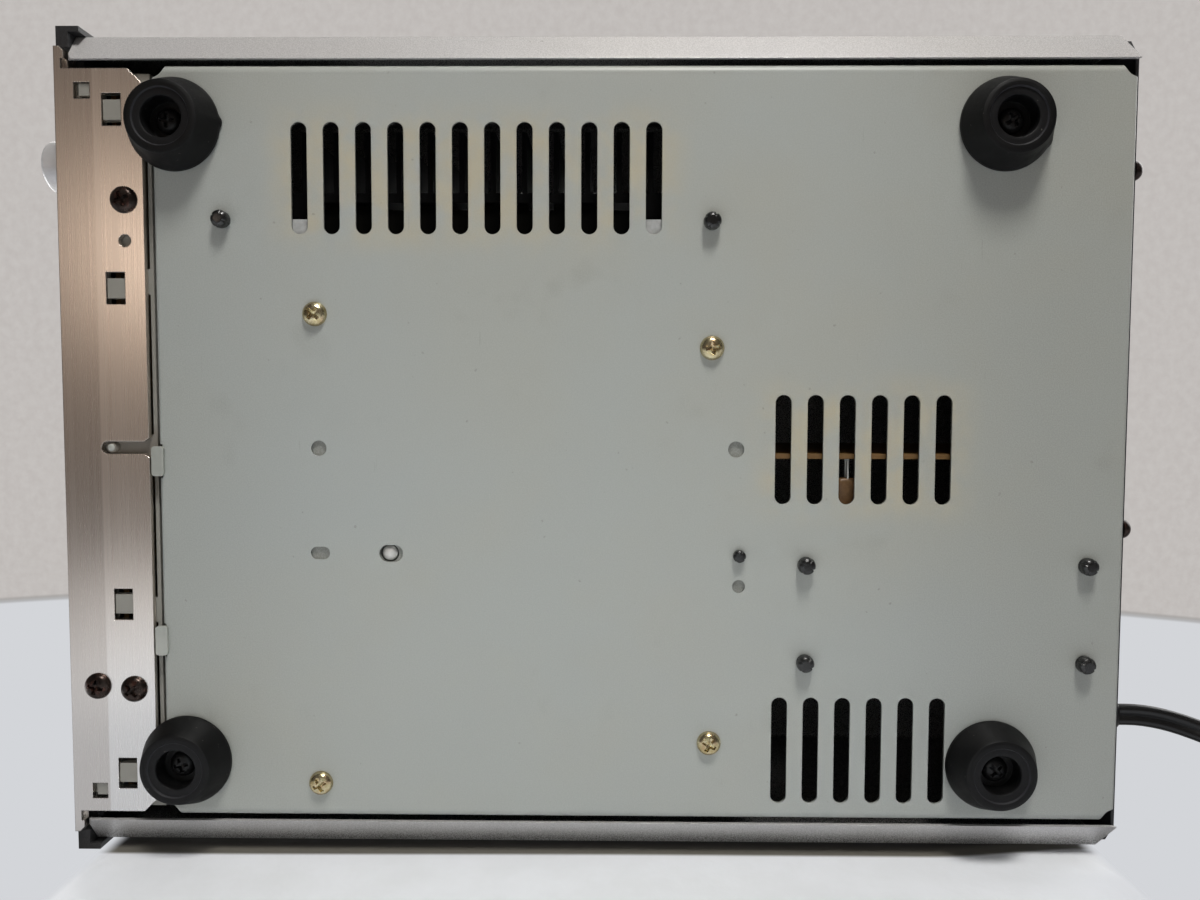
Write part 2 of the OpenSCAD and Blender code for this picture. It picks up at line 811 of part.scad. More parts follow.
module front_bracket() {
    color("#a9a7a0") on_plate() difference() {
        union() {
            box([-bracket_hw, panel_back + 0.6, bracket_z], [bracket_hw, wall_y[1], bracket_z + bracket_t]);
            box([-bracket_hw, wall_y[0], bracket_z], [bracket_hw, wall_y[1], bracket_z + 12]);
            for (x = hook_x) {
                box([x - hook_w / 2 + hook_r, hook_y[0], -0.6],
                    [x + hook_w / 2 - hook_r, hook_y[0] + hook_wall, bracket_z + 12]);
                along_z(-1.1, -0.1) translate([x, (hook_y[0] + hook_y[1]) / 2]) {
                    round_rect(hook_w, hook_y[1] - hook_y[0], hook_r);
                }
            }
            // tongues in the clip windows and pegs in the small ones
            for (s = [-1, 1], x = clip_x) {
                box([s * x - tongue_hw, clip_y - clip_d / 2 + fit, flange_z + 0.5],
                    [s * x + tongue_hw, clip_y + clip_d / 2 - fit, bracket_z + 0.1]);
            }
            for (s = [-1, 1]) {
                box([s * peg_x - 1.5, peg_y - 1.2, flange_z + 0.6], [s * peg_x + 2.2, peg_y + 2.2, bracket_z + 0.1]);
            }
            translate([0, key_slot_y + 1, flange_z + 1.6]) sphere(d = 3.6);
            translate([0, key_slot_y + 1, flange_z + 1.6]) cylinder(d = 3.6, h = 1.6);
        }
        for (p = panel_screw) {
            translate([p[0], p[1], 0]) cylinder(d = 4, h = 8);
        }
        // long reliefs along the bend
        for (i = [0 : relief_n - 1]) {
            x = (i - (relief_n - 1) / 2) * relief_pitch;
            box([x - relief_len / 2, wall_y[0] - relief_d, bracket_z - 1],
                [x + relief_len / 2, wall_y[0], bracket_z + bracket_t + 1]);
        }
        // the tongues and pegs are cut free of the sheet on the sides where they bend
        for (s = [-1, 1], x = clip_x, end = [-1, 1]) {
            slit = clip_w / 2 - tongue_hw + fit;
            along_z(flange_z, bracket_z + bracket_t + 1) {
                translate([s * x + end * (tongue_hw + slit / 2), clip_y]) rect(slit, clip_d + 2 * fit);
            }
        }
        for (s = [-1, 1]) {
            box([s * peg_x - peg_w / 2 - fit, peg_y - peg_w / 2, flange_z],
                [s * peg_x - 1.5, peg_y + peg_w / 2, bracket_z + bracket_t + 1]);
        }
    }
}

module display_window() {
    color("#15171a") on_plate() difference() {
        along_y(face_y + 0.6, panel_back) {
            translate([loader_x, window_z]) rect(window_w - 2 * fit, window_h - 2 * fit);
        }
        along_y(panel_back - window_lip, panel_back + 1) {
            translate([loader_x, window_z]) rect(window_w - 8, window_h - 6);
        }
    }
}

module display_tube() {
    color("#39424a") on_plate() along_y(frame_back + 0.3, board_y) {
        translate([loader_x, window_z]) rect(window_w - 20, window_h - 8);
    }
}

module front_board() {
    color("#8a6a3c") on_plate() {
        difference() {
            along_y(board_y, board_y + board_t) {
                translate([0, (board_top + 7) / 2]) rect(2 * (plate_hw - 4), board_top - 7);
            }
            rod_y(power_x, phones_z, phones_d - 2, board_y - 1, board_y + 3);
        }
        for (x = key_x) {
            along_y(board_y - 4, board_y) translate([x, key_z]) rect(6, 6);
        }
        along_y(board_y - 3, board_y) translate([power_x, power_z]) rect(8, 8);
        // the open key sits higher than the board, on a tab of its own
        along_y(board_y, board_y + board_t) {
            translate([open_key_x, board_top + 9]) rect(16, 20);
        }
        along_y(board_y - 4, board_y) translate([open_key_x, open_key_z]) rect(6, 6);
    }
}

// a key cap through the panel with a collar behind the frame
module key_cap(x, z) {
    color("#c9c4bd") on_plate() {
        along_y(face_y - key_out, frame_back + 1) translate([x, z]) rect(key_w, key_h);
        along_y(frame_back + 0.1, frame_back + 1.2) translate([x, z]) rect(key_w + 2, key_h + 2);
        along_y(frame_back + 1, board_y - 4 - key_stop) translate([x, z]) rect(4, 3);
    }
}

module play_key() {
    key_cap(key_x[0], key_z);
}

module stop_key() {
    key_cap(key_x[1], key_z);
}

module back_key() {
    key_cap(key_x[2], key_z);
}

module forward_key() {
    key_cap(key_x[3], key_z);
}

module open_key() {
    key_cap(open_key_x, open_key_z);
}

module power_button() {
    color("#c9c4bd") on_plate() {
        rod_y(power_x, power_z, power_d, face_y - key_out - power_travel, frame_back + 1);
        rod_y(power_x, power_z, power_d + 2, frame_back + 0.1, frame_back + 1.2);
        rod_y(power_x, power_z, 4, frame_back + 1, board_y - 3 - power_travel - run);
    }
}

module volume_control() {
    color("#8d8f90") on_plate() difference() {
        union() {
            along_y(frame_back + 1, board_y) translate([knob_x, knob_z]) rect(17, 17);
            rod_y(knob_x, knob_z, bush_d, panel_back - 1, frame_back + 1.5);
        }
        rod_y(knob_x, knob_z, shaft_d + 2 * bear, panel_back - 2, board_y - 2);
    }
}

module volume_shaft() {
    color("#b9bab8") on_plate() rod_y(knob_x, knob_z, shaft_d, face_y - 9, board_y - 2.5);
}

module volume_knob() {
    color("#c6c6c6") on_plate() translate([knob_x, face_y, knob_z]) rotate([90, 0, 0]) difference() {
        rotate_extrude($fn = 72) polygon([
            [0, 0.8], [knob_d / 2 - 0.3, 0.8], [knob_d / 2, 1.1], [knob_d / 2, knob_out - 0.8],
            [knob_d / 2 - 0.8, knob_out], [0, knob_out]
        ]);
        cylinder(d = shaft_d + 2 * bear, h = 9.1);
    }
}

module phones_jack() {
    color("#202022") on_plate() difference() {
        union() {
            rod_y(power_x, phones_z, phones_d, face_y - 0.5, frame_back + 2);
            along_y(frame_back + 0.2, board_y) translate([power_x, phones_z]) rect(14, 14);
            rod_y(power_x, phones_z, phones_d - 2.4, board_y - 1, board_y + 9);
        }
        rod_y(power_x, phones_z, phones_bore, face_y - 2, board_y + 7.5);
    }
}

// boards and power

module support(p, top) {
    translate([p[0], p[1], 0]) {
        translate([0, 0, -support_tip]) cylinder(d1 = 3.6, d2 = 5.6, h = 1.8);
        translate([0, 0, 1.8 - support_tip]) cylinder(d = 5.6, h = support_tip - 2);
        translate([0, 0, -0.3]) cylinder(d = support_neck_d, h = plate_t + 0.4);
        translate([0, 0, plate_t]) cylinder(d = 8, h = top - plate_t);
        translate([0, 0, top - 0.1]) cylinder(d = board_bore - 0.3, h = 3.6);
    }
}

module board_supports() {
    color("#19191a") on_plate() {
        for (p = main_support) {
            support(p, main_board_z);
        }
        for (x = supply_x, y = supply_y) {
            support([x, y], power_board_z);
        }
        translate([wire_support[0], wire_support[1], -2.6]) {
            cylinder(d = 3.9, h = 2.4);
            cylinder(d = 3.4, h = 4);
            translate([0, 0, 2.6 + plate_t]) cylinder(d = wire_foot, h = 5);
        }
    }
}

module main_board() {
    top = main_board_z + board_t;
    color("#7d6334") on_plate() {
        difference() {
            box([main_x[0], main_y[0], main_board_z], [main_x[1], main_y[1], top]);
            for (p = main_support) {
                translate([p[0], p[1], main_board_z - 1]) cylinder(d = board_bore, h = board_t + 2);
            }
        }
        for (y = cap_y) {
            translate([main_x[0] + cap_d / 2 + 1, y, top]) cylinder(d = cap_d, h = cap_h);
        }
        // power transistors against the heat sink
        for (y = chip_y) {
            box([sink_x - fit - chip_t, y - chip_w / 2, top], [sink_x - fit, y + chip_w / 2, top + chip_h]);
        }
    }
}

module heat_sink() {
    color("#b4b6b6") on_plate() {
        box([sink_x, sink_y, sink_z], [sink_x + sink_t, sink_y + sink_len, sink_z + sink_h]);
        for (i = [0 : fin_count - 1]) {
            translate([sink_x, sink_y + 0.2 + i * fin_pitch, sink_z]) {
                cube([sink_t + fin_out, fin_t, sink_h]);
            }
        }
        // feet on the bottom plate
        for (y = sink_foot_y) {
            translate([sink_x, y, plate_t]) {
                box([-14, 0, 0], [-6.6, sink_foot_w, sink_foot_t]);
                box([-8.2, 0, 0], [-6.6, sink_foot_w, sink_z - plate_t + sink_foot_t - 0.1]);
                box([-8.2, 0, sink_z - plate_t], [sink_t, sink_foot_w, sink_z - plate_t + sink_foot_t - 0.1]);
            }
        }
    }
}

module power_board() {
    color("#7d6334") on_plate() difference() {
        box([supply_x[0] - 6.6, supply_y[0] - 7.1, power_board_z],
            [supply_x[1] + 7.3, supply_y[1] + 6.9, power_board_z + board_t]);
        for (x = supply_x, y = supply_y) {
            translate([x, y, power_board_z - 1]) cylinder(d = board_bore, h = board_t + 2);
        }
    }
}

module transformer() {
    mid = [(supply_x[0] + supply_x[1]) / 2 + 0.35, (supply_y[0] + supply_y[1]) / 2 - 1.1];
    reach = core_leg / 2 + core_window;
    color("#4d4a48") on_plate() translate([mid[0], mid[1], power_board_z + board_t]) {
        difference() {
            box([-core_w / 2, -core_d / 2, core_z], [core_w / 2, core_d / 2, core_z + core_h]);
            for (s = [-1, 1]) {
                box([s > 0 ? core_leg / 2 : -reach, -core_d, core_z + core_bar],
                    [s > 0 ? reach : -core_leg / 2, core_d, core_z + core_h - core_bar]);
            }
        }
        difference() {
            box([fit - reach, -core_d / 2 - winding_out, 0], [reach - fit, core_d / 2 + winding_out, core_h]);
            box([-core_w, -core_d / 2 - fit, -1], [core_w, core_d / 2 + fit, core_h + 1]);
        }
        for (s = [-1, 1]) {
            box([s > 0 ? core_leg / 2 + fit : fit - reach, -core_d / 2 - 2, core_z + core_bar + fit],
                [s > 0 ? reach - fit : -core_leg / 2 - fit, core_d / 2 + 2, core_z + core_h - core_bar - fit]);
        }
    }
}

module signal_board() {
    color("#a8763a") on_plate() {
        box([signal_x - board_t / 2, signal_y, signal_z[0]],
            [signal_x + board_t / 2, rear_in - plate_t - 0.3, signal_z[1]]);
    }
}

module line_jacks() {
    color("#252527") on_plate() for (z = jack_z) {
        difference() {
            union() {
                box([signal_x + board_t / 2, rear_in - 14, z - jack_pitch / 2 + fit],
                    [jack_x + 7, rear_in, z + jack_pitch / 2 - fit]);
                rod_y(jack_x, z, jack_d, rear_in - 1, rear_out + jack_out);
            }
            rod_y(jack_x, z, jack_bore, rear_out + jack_out - 9, rear_out + jack_out + 1);
        }
    }
}

module speaker_terminal() {
    mid = (terminal_z[0] + terminal_z[1]) / 2;
    color("#1d1d1f") on_plate() {
        difference() {
            union() {
                along_y(rear_out, rear_out + terminal_out) {
                    translate([terminal_x, mid]) rect(terminal_w, terminal_z[1] - terminal_z[0]);
                }
                along_y(rear_in - 5, rear_out + 1) {
                    translate([terminal_x, mid]) rect(terminal_w - 8.4, 17.6);
                }
            }
            for (i = [0 : 3]) {
                x = terminal_x + (i - 1.5) * lever_pitch;
                box([x - lever_w / 2 - run, rear_out - 3, lever_z - 2.2],
                    [x + lever_w / 2 + run, rear_out + terminal_out + 1, lever_z + lever_h + 0.4]);
                rod_y(x, lever_z - 6, 3.2, rear_out, rear_out + terminal_out + 1);
            }
            translate([0, lever_y, lever_z]) rotate([0, 90, 0]) {
                cylinder(d = lever_rod + 2 * bear, h = 400, center = true);
            }
        }
        // the rod that the levers turn on
        translate([terminal_x - terminal_w / 2 + 0.5, lever_y, lever_z]) rotate([0, 90, 0]) {
            cylinder(d = lever_rod, h = terminal_w - 1);
        }
    }
}

module lever(i, tint) {
    x = terminal_x + (i - 1.5) * lever_pitch;
    color(tint) on_plate() difference() {
        union() {
            translate([x, lever_y, lever_z]) rotate([0, 90, 0]) {
                cylinder(d = 3.6, h = lever_w, center = true);
            }
            box([x - lever_w / 2, lever_y - 1.6, lever_z], [x + lever_w / 2, lever_y + 1.8, lever_z + lever_h - 2.6]);
            box([x - lever_w / 2, lever_y - 1.6, lever_z + lever_h - 6],
                [x + lever_w / 2, rear_out + terminal_out + 0.8, lever_z + lever_h - 2.6]);
        }
        translate([x, lever_y, lever_z]) rotate([0, 90, 0]) {
            cylinder(d = lever_rod + 2 * bear, h = 40, center = true);
        }
    }
}

module lever_1() {
    lever(0, "#b5262a");
}

module lever_2() {
    lever(1, "#222224");
}

module lever_3() {
    lever(2, "#b5262a");
}

module lever_4() {
    lever(3, "#222224");
}

// loader

module loader_posts() {
    color("#b8b6a8") on_plate() {
        for (p = post_xy) {
            translate([p[0], p[1], plate_t]) difference() {
                cylinder(d = post_d, h = loader_z - plate_t);
                translate([0, 0, -1]) cylinder(d = post_hole, h = 16);
            }
        }
        translate([dome_xy[0], dome_xy[1], 0]) {
            intersection() {
                translate([0, 0, dome_low + dome_r]) sphere(dome_r);
                cylinder(d = dome_d, h = dome_low + dome_r);
            }
            translate([0, 0, dome_low + dome_r - 0.1]) {
                cylinder(d = dome_d, h = loader_z + traverse_z - dome_low - dome_r + 0.1);
            }
        }
    }
}

module loader_screws() {
    color("#c8a85c") on_plate() for (p = post_xy) {
        translate([p[0], p[1], 0]) pan_screw(7.7, 2.6, post_hole - 0.2, 12);
    }
}

module loader_frame() {
    open_v = [traverse_v[0] + 12, traverse_v[1] - 12];
    color("#2c2c2e") on_loader() {
        difference() {
            union() {
                box([-wall_in - wall_t, frame_front, 0], [wall_in + wall_t, frame_rear, 2]);
                for (s = [-1, 1]) {
                    box([min(s * wall_in, s * (wall_in + wall_t)), frame_front, 0],
                        [max(s * wall_in, s * (wall_in + wall_t)), frame_rear, wall_top]);
                    // ledges below and above the rails of the tray
                    for (z = [[tray_z - 1.5, rail_z - run], [rail_z + rail_h + run, rail_z + rail_h + 2.5]]) {
                        box([min(s * (tray_hw + run), s * (wall_in + 1)), frame_front, z[0]],
                            [max(s * (tray_hw + run), s * (wall_in + 1)), frame_rear, z[1]]);
                    }
                    box([min(s * wall_in, s * (loader_front_span / 2 + 6)), post_y[0] - disc_y - 8, 0],
                        [max(s * wall_in, s * (loader_front_span / 2 + 6)), post_y[0] - disc_y + 8, 3]);
                }
                translate([drive_u, drive_v, 0]) cylinder(d = 9, h = 9.2);
                translate([drive_u, drive_v, 0]) cylinder(d = axle_d, h = tray_z - 0.8);
                translate([pulley_u, drive_v, 0]) cylinder(d = axle_d - 1, h = 14);
                translate([pulley_u, drive_v, 0]) cylinder(d = 6, h = 3.2);
                for (s = [-1, 1], v = [traverse_v[0] + 6, traverse_v[1] - 6]) {
                    translate([s * (traverse_hw - 5), v, 0]) cylinder(d = 8, h = traverse_z);
                }
            }
            box([-33, open_v[0], -1], [33, open_v[1], 3]);
            translate([motor_u, drive_v, -1]) cylinder(d = 7, h = 4);
        }
    }
}

module loading_motor() {
    color("#9a9c9d") on_loader() translate([motor_u, drive_v, 0]) difference() {
        union() {
            translate([0, 0, -20]) cylinder(d = 24, h = 20);
            cylinder(d = 6.4, h = 2.4);
        }
        translate([0, 0, -8]) cylinder(d = 2 + 2 * bear, h = 12);
    }
}

module motor_pulley() {
    color("#d8d4c8") on_loader() translate([motor_u, drive_v, 0]) {
        rotate_extrude() polygon([
            [0, 3.4], [motor_groove + 1.6, 3.4], [motor_groove + 1.6, belt_z[0] - 0.6],
            [motor_groove, belt_z[0] - 0.2], [motor_groove, belt_z[1] + 0.2],
            [motor_groove + 1.6, belt_z[1] + 0.6], [motor_groove + 1.6, 8.2], [0, 8.2]
        ]);
        translate([0, 0, -6]) cylinder(d = 2, h = 10);
    }
}

module loading_belt() {
    color("#161616") on_loader() translate([pulley_u, drive_v, 0]) along_z(belt_z[0], belt_z[1]) {
        difference() {
            loop_outline(pulley_groove + belt_t, motor_groove + belt_t, pulley_u - motor_u);
            loop_outline(pulley_groove + bear, motor_groove + bear, pulley_u - motor_u);
        }
    }
}

module pulley_gear() {
    color("#e2dccb") on_loader() translate([pulley_u, drive_v, 0]) difference() {
        union() {
            rotate_extrude() polygon([
                [0, 3.5], [pulley_groove + 1.6, 3.5], [pulley_groove + 1.6, belt_z[0] - 0.6],
                [pulley_groove, belt_z[0] - 0.2], [pulley_groove, belt_z[1] + 0.2],
                [pulley_groove + 1.6, belt_z[1] + 0.6], [pulley_groove + 1.6, 8.2], [0, 8.2]
            ]);
            along_z(8, 14) rotate(180 / small_n) gear_outline(wheel_m, small_n, 0.2);
        }
        cylinder(d = axle_d - 1 + 2 * bear, h = 20);
    }
}

module drive_gear() {
    color("#e2dccb") on_loader() translate([drive_u, drive_v, 0]) difference() {
        union() {
            along_z(9.5, 14.5) gear_outline(wheel_m, wheel_n, 0.2);
            along_z(14.4, tray_z - 0.5) gear_outline(rack_m, pinion_n, 0.2);
        }
        cylinder(d = axle_d + 2 * bear, h = 40);
    }
}

module disc_tray() {
    color("#222224") on_loader() {
        difference() {
            box([-tray_hw, tray_front, tray_z], [tray_hw, tray_back, tray_z + tray_h]);
            translate([0, 0, well_floor]) cylinder(d = well_d, h = 20, $fn = 96);
            box([-slot_hw, -slot_hw, tray_z - 1], [slot_hw, tray_back + 1, tray_z + tray_h + 1]);
            // finger gaps beside the disc
            for (s = [-1, 1]) {
                translate([s * (tray_hw - 12), 0, well_floor]) cylinder(d = 22, h = 20);
            }
            // the underside is hollow outside the well
            for (s = [-1, 1]) {
                box([min(s * 24, s * 50), 66, tray_z - 1], [max(s * 24, s * 50), tray_back - 4, tray_z + tray_h - 2.5]);
            }
        }
        for (s = [-1, 1]) {
            box([min(s * (tray_hw - 1), s * (tray_hw + rail_w)), frame_front + 4, rail_z],
                [max(s * (tray_hw - 1), s * (tray_hw + rail_w)), tray_back, rail_z + rail_h]);
        }
        translate([rack_u, drive_v, 0]) along_z(tray_z - 6.5, tray_z + 0.5) {
            rack_outline(rack_m, -6, tray_travel + 7, 3.4, 0.2);
        }
    }
}

module tray_door() {
    color("#c2bbb4") on_plate() along_y(face_y, panel_back) door_hole(0);
}

module traverse_plate() {
    color("#8e9196") on_loader() {
        difference() {
            union() {
                box([-traverse_hw, traverse_v[0], traverse_z], [traverse_hw, traverse_v[1], traverse_z + traverse_t]);
                for (s = [-1, 1], v = [[12, 15.5], [84, 88]]) {
                    box([s * rod_u - 3, v[0], traverse_z], [s * rod_u + 3, v[1], rod_z + 3]);
                }
                translate([feed_u, feed_v, traverse_z]) cylinder(d = feed_pin, h = 7.4);
            }
            translate([0, 0, traverse_z - 1]) cylinder(d = 15, h = 4);
            box([-9, 27, traverse_z - 1], [9, 80, traverse_z + 4]);
            for (s = [-1, 1]) {
                rod_y(s * rod_u, rod_z, rod_d + 2 * bear, 0, 100);
            }
        }
    }
}

module guide_rods() {
    color("#c9cbcc") on_loader() for (s = [-1, 1]) {
        rod_y(s * rod_u, rod_z, rod_d, 12, 88);
    }
}

module spindle_motor() {
    color("#7c7f82") on_loader() difference() {
        union() {
            cylinder(d = 24, h = traverse_z);
            cylinder(d = 14, h = traverse_z + 5);
        }
        translate([0, 0, 1]) cylinder(d = spindle_d + 2 * bear, h = 20);
    }
}

module turntable() {
    color("#1d1d1e") on_loader() {
        rotate_extrude() polygon([
            [0, 14], [5, 14], [5, 20], [platter_d / 2, 21.5], [platter_d / 2, seat_z],
            [7.4, seat_z], [7.2, seat_z + 1.4], [4.5, seat_z + 3], [0, seat_z + 3]
        ]);
        translate([0, 0, 3]) cylinder(d = spindle_d, h = 12);
    }
}

module clamp_bridge() {
    color("#a3a6a8") on_loader() difference() {
        box([-wall_in - wall_t, -18, wall_top], [wall_in + wall_t, 18, wall_top + bridge_t]);
        cylinder(d = clamper_neck + 2, h = 60);
        for (s = [-1, 1]) {
            box([min(s * 24, s * 58), -9, 0], [max(s * 24, s * 58), 9, 60]);
        }
    }
}

module clamper() {
    top = wall_top + bridge_t + run;
    color("#e0e0dc") on_loader() rotate_extrude() polygon([
        [0, wall_top - 3.5], [platter_d / 2 - 1, wall_top - 3.5], [platter_d / 2, wall_top - 2.8],
        [platter_d / 2, wall_top - 1.6], [clamper_neck / 2, wall_top - 1.2], [clamper_neck / 2, top],
        [13, top], [13, top + 1.2], [0, top + 1.2]
    ]);
}

module pickup() {
    color("#3a3d40") on_loader() {
        difference() {
            union() {
                box([-pickup_hw, pickup_v[0], traverse_z + traverse_t + 0.5], [pickup_hw, pickup_v[1], 20]);
                translate([0, pickup_v[0] + 6, 20]) cylinder(d = 9, h = 1);
                translate([0, pickup_v[0] + 6, 20]) cylinder(d = 6, h = 1.8);
            }
            for (s = [-1, 1]) {
                rod_y(s * rod_u, rod_z, rod_d + 2 * bear, 0, 100);
            }
        }
        along_z(12, 15) translate([feed_rack_u, feed_v]) {
            rack_outline(feed_m, pickup_v[0] - feed_v, 7, 2.4, 0.2);
        }
    }
}

module feed_gear() {
    color("#e2dccb") on_loader() translate([feed_u, feed_v, 0]) difference() {
        along_z(traverse_z + traverse_t + 0.6, 15.2) gear_outline(feed_m, feed_n, 0.2);
        cylinder(d = feed_pin + 2 * bear, h = 40);
    }
}

// cord

module cord_bushing() {
    color("#161617") on_plate() {
        along_y(rear_out, rear_out + bushing_out) {
            translate([bushing_x, bushing_z]) rect(bushing_w + 0.8, bushing_h + 3);
        }
        along_y(rear_in - 7, rear_out + 0.5) translate([bushing_x, bushing_z]) rect(bushing_w, bushing_h);
    }
}

function unit(v) = v / norm(v);
function tangent(r, i) = unit(r[min(i + 1, len(r) - 1)] - r[max(i - 1, 0)]);
function across(t) = unit(cross(t, [0, 0, 1]));
function ring(r, i) = let (t = tangent(r, i), a = across(t), u = cross(a, t))
    [for (p = cord_outline) r[i] + p[0] * a + p[1] * u];

module swept(route) {
    n = len(cord_outline);
    last = len(route) - 1;
    points = [for (i = [0 : last]) each ring(route, i)];
    sides = [for (i = [0 : last - 1], k = [0 : n - 1]) let (a = i * n + k, b = i * n + (k + 1) % n)
        each [[a, b, a + n], [b, b + n, a + n]]];
    ends = [for (k = [1 : n - 2]) each [[0, k + 1, k], [last * n, last * n + k, last * n + k + 1]]];
    polyhedron(points = points, faces = concat(sides, ends));
}

module power_cord() {
    color("#161617") on_plate() swept(cord_route);
}

module cord_coil() {
    rings = [for (i = [0 : len(coil_route) - 1]) ring(coil_route, i)];
    least = min([for (i = [0 : len(rings) - 1], j = [i + 8 : 1 : len(rings) - 1])
        if (norm(coil_route[i] - coil_route[j]) < 14) min([for (p = rings[i], q = rings[j]) norm(p - q)])]);
    echo(least_gap_of_coil = least);
    color("#161617") on_plate() swept(coil_route);
}

module plug() {
    color("#161617") on_plate() translate([cord_x, plug_y, plug_z]) difference() {
        union() {
            along_y(0, plug_neck) round_rect(cord_w + 1.6, cord_t + 0.4, 1.6);
            along_y(plug_neck, 34) round_rect(plug_w, 2 * (plug_z - floor_z) - 0.2, 3);
            for (x = [-6.35, 6.35]) {
                box([x - 0.75, 33, -3.15], [x + 0.75, 51, 3.15]);
            }
        }
        for (x = [-6.35, 6.35]) {
            translate([x, 47.5, 0]) rotate([0, 90, 0]) cylinder(d = 3.2, h = 8, center = true);
        }
    }
}

bottom_plate();
top_cover();
rear_panel();
front_panel();
front_frame();
front_bracket();
display_window();
display_tube();
front_board();
volume_control();
phones_jack();
main_board();
heat_sink();
power_board();
transformer();
signal_board();
board_supports();
foot_front_left();
foot_front_right();
foot_rear_left();
foot_rear_right();
foot_screws();
loader_screws();
loader_posts();
panel_screws();
rear_screws();
line_jacks();
speaker_terminal();
cord_bushing();
power_cord();
cord_coil();
plug();
loader_frame();
clamp_bridge();
traverse_plate();
guide_rods();
spindle_motor();
loading_motor();
loading_belt();
disc_tray();
tray_door();
drive_gear();
pulley_gear();
motor_pulley();
turntable();
clamper();
pickup();
feed_gear();
volume_knob();
volume_shaft();
power_button();
open_key();
play_key();
stop_key();
back_key();
forward_key();
lever_1();
lever_2();
lever_3();
lever_4();
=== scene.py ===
import json
import math

import bmesh
import bpy
import numpy as np
from mathutils import Matrix, Vector


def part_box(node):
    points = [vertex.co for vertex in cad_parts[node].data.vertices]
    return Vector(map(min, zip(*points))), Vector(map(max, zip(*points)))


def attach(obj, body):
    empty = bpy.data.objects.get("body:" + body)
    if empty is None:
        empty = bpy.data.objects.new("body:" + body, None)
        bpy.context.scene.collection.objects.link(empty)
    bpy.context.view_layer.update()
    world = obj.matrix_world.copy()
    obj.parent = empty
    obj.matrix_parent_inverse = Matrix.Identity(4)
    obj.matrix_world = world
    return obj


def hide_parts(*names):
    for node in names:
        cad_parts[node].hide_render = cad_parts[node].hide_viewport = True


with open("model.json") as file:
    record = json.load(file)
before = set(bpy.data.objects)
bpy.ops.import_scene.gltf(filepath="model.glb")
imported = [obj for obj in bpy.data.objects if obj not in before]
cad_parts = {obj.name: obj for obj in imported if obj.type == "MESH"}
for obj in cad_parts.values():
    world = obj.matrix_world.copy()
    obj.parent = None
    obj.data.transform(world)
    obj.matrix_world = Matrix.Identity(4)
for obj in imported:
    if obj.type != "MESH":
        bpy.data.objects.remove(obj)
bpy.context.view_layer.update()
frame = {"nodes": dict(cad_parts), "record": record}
nodes = frame["nodes"]
mm = 0.001
print("frame loaded with", len(nodes), "nodes")


# camera, below the unit and a little towards its right side

camera = {
    "place": (0.01568, 0.00773, -0.28140),
    "target": (-0.00025, 0.00461, 0.01000),  # on the bottom plate
    "rollDeg": 0.148,
    "lens": 27.9,  # on a 36 mm wide sensor
}


def aimed(place, target, up, rollDeg=0.0):
    # columns of the turn are right, up and back
    place = Vector(place)
    back = (place - Vector(target)).normalized()
    right = Vector(up).cross(back).normalized()
    axes = Matrix((right, back.cross(right), back)).transposed()
    turn = Matrix.Rotation(math.radians(rollDeg), 3, back)
    return Matrix.Translation(place) @ (turn @ axes).to_4x4()


cameraData = bpy.data.cameras.new("camera")
cameraData.lens = camera["lens"]
cameraData.sensor_width = 36
cameraData.clip_start, cameraData.clip_end = 0.01, 50
cameraObject = bpy.data.objects.new("camera", cameraData)
cameraObject.matrix_world = aimed(camera["place"], camera["target"], (1, 0, 0), camera["rollDeg"])
bpy.context.scene.collection.objects.link(cameraObject)
bpy.context.scene.camera = cameraObject
print("camera set")


# shader maths: a socket with operators

class Sock:
    # sums, products and powers of sockets add Math nodes
    def __init__(self, socket):
        self.socket = socket

    def node(self, kind, settings=None, inputs=None, out=0):
        tree = self.socket.id_data
        made = tree.nodes.new(kind)
        for name, value in (settings or {}).items():
            setattr(made, name, value)
        for name, value in (inputs or {}).items():
            if isinstance(value, Sock):
                tree.links.new(value.socket, made.inputs[name])
            else:
                made.inputs[name].default_value = value
        return Sock(made.outputs[out])

    def math(self, operation, a, b=0.0):
        return self.node("ShaderNodeMath", {"operation": operation}, {0: a, 1: b})

    def __add__(self, other):
        return self.math("ADD", self, other)

    def __radd__(self, other):
        return self.math("ADD", other, self)

    def __sub__(self, other):
        return self.math("SUBTRACT", self, other)

    def __rsub__(self, other):
        return self.math("SUBTRACT", other, self)

    def __mul__(self, other):
        return self.math("MULTIPLY", self, other)

    def __rmul__(self, other):
        return self.math("MULTIPLY", other, self)

    def __pow__(self, other):
        return self.math("POWER", self, other)

    def size(self):
        return self.math("ABSOLUTE", self)

    def along(self, axis):
        return self.node("ShaderNodeSeparateXYZ", {}, {0: self}, axis)

    # 0 below low, 1 above high, smooth between; works backwards too
    def rise(self, low, high):
        return self.node("ShaderNodeMapRange", {"interpolation_type": "SMOOTHSTEP"},
                         {"Value": self, "From Min": low, "From Max": high})

    def noise(self, scale, detail=2.0, rough=0.5, stretch=(1, 1, 1)):
        spread = self.node("ShaderNodeMapping", {}, {"Vector": self, "Scale": [scale * s for s in stretch]})
        return self.node("ShaderNodeTexNoise", {},
                         {"Vector": spread, "Scale": 1.0, "Detail": detail, "Roughness": rough})

    def cells(self, scale, stretch=(1, 1, 1)):
        spread = self.node("ShaderNodeMapping", {}, {"Vector": self, "Scale": [scale * s for s in stretch]})
        return self.node("ShaderNodeTexVoronoi", {}, {"Vector": spread, "Scale": 1.0})

    # a colour between two, by this factor
    def mix(self, low, high):
        return self.node("ShaderNodeMix", {"data_type": "RGBA"}, {0: self, 6: low, 7: high}, 2)


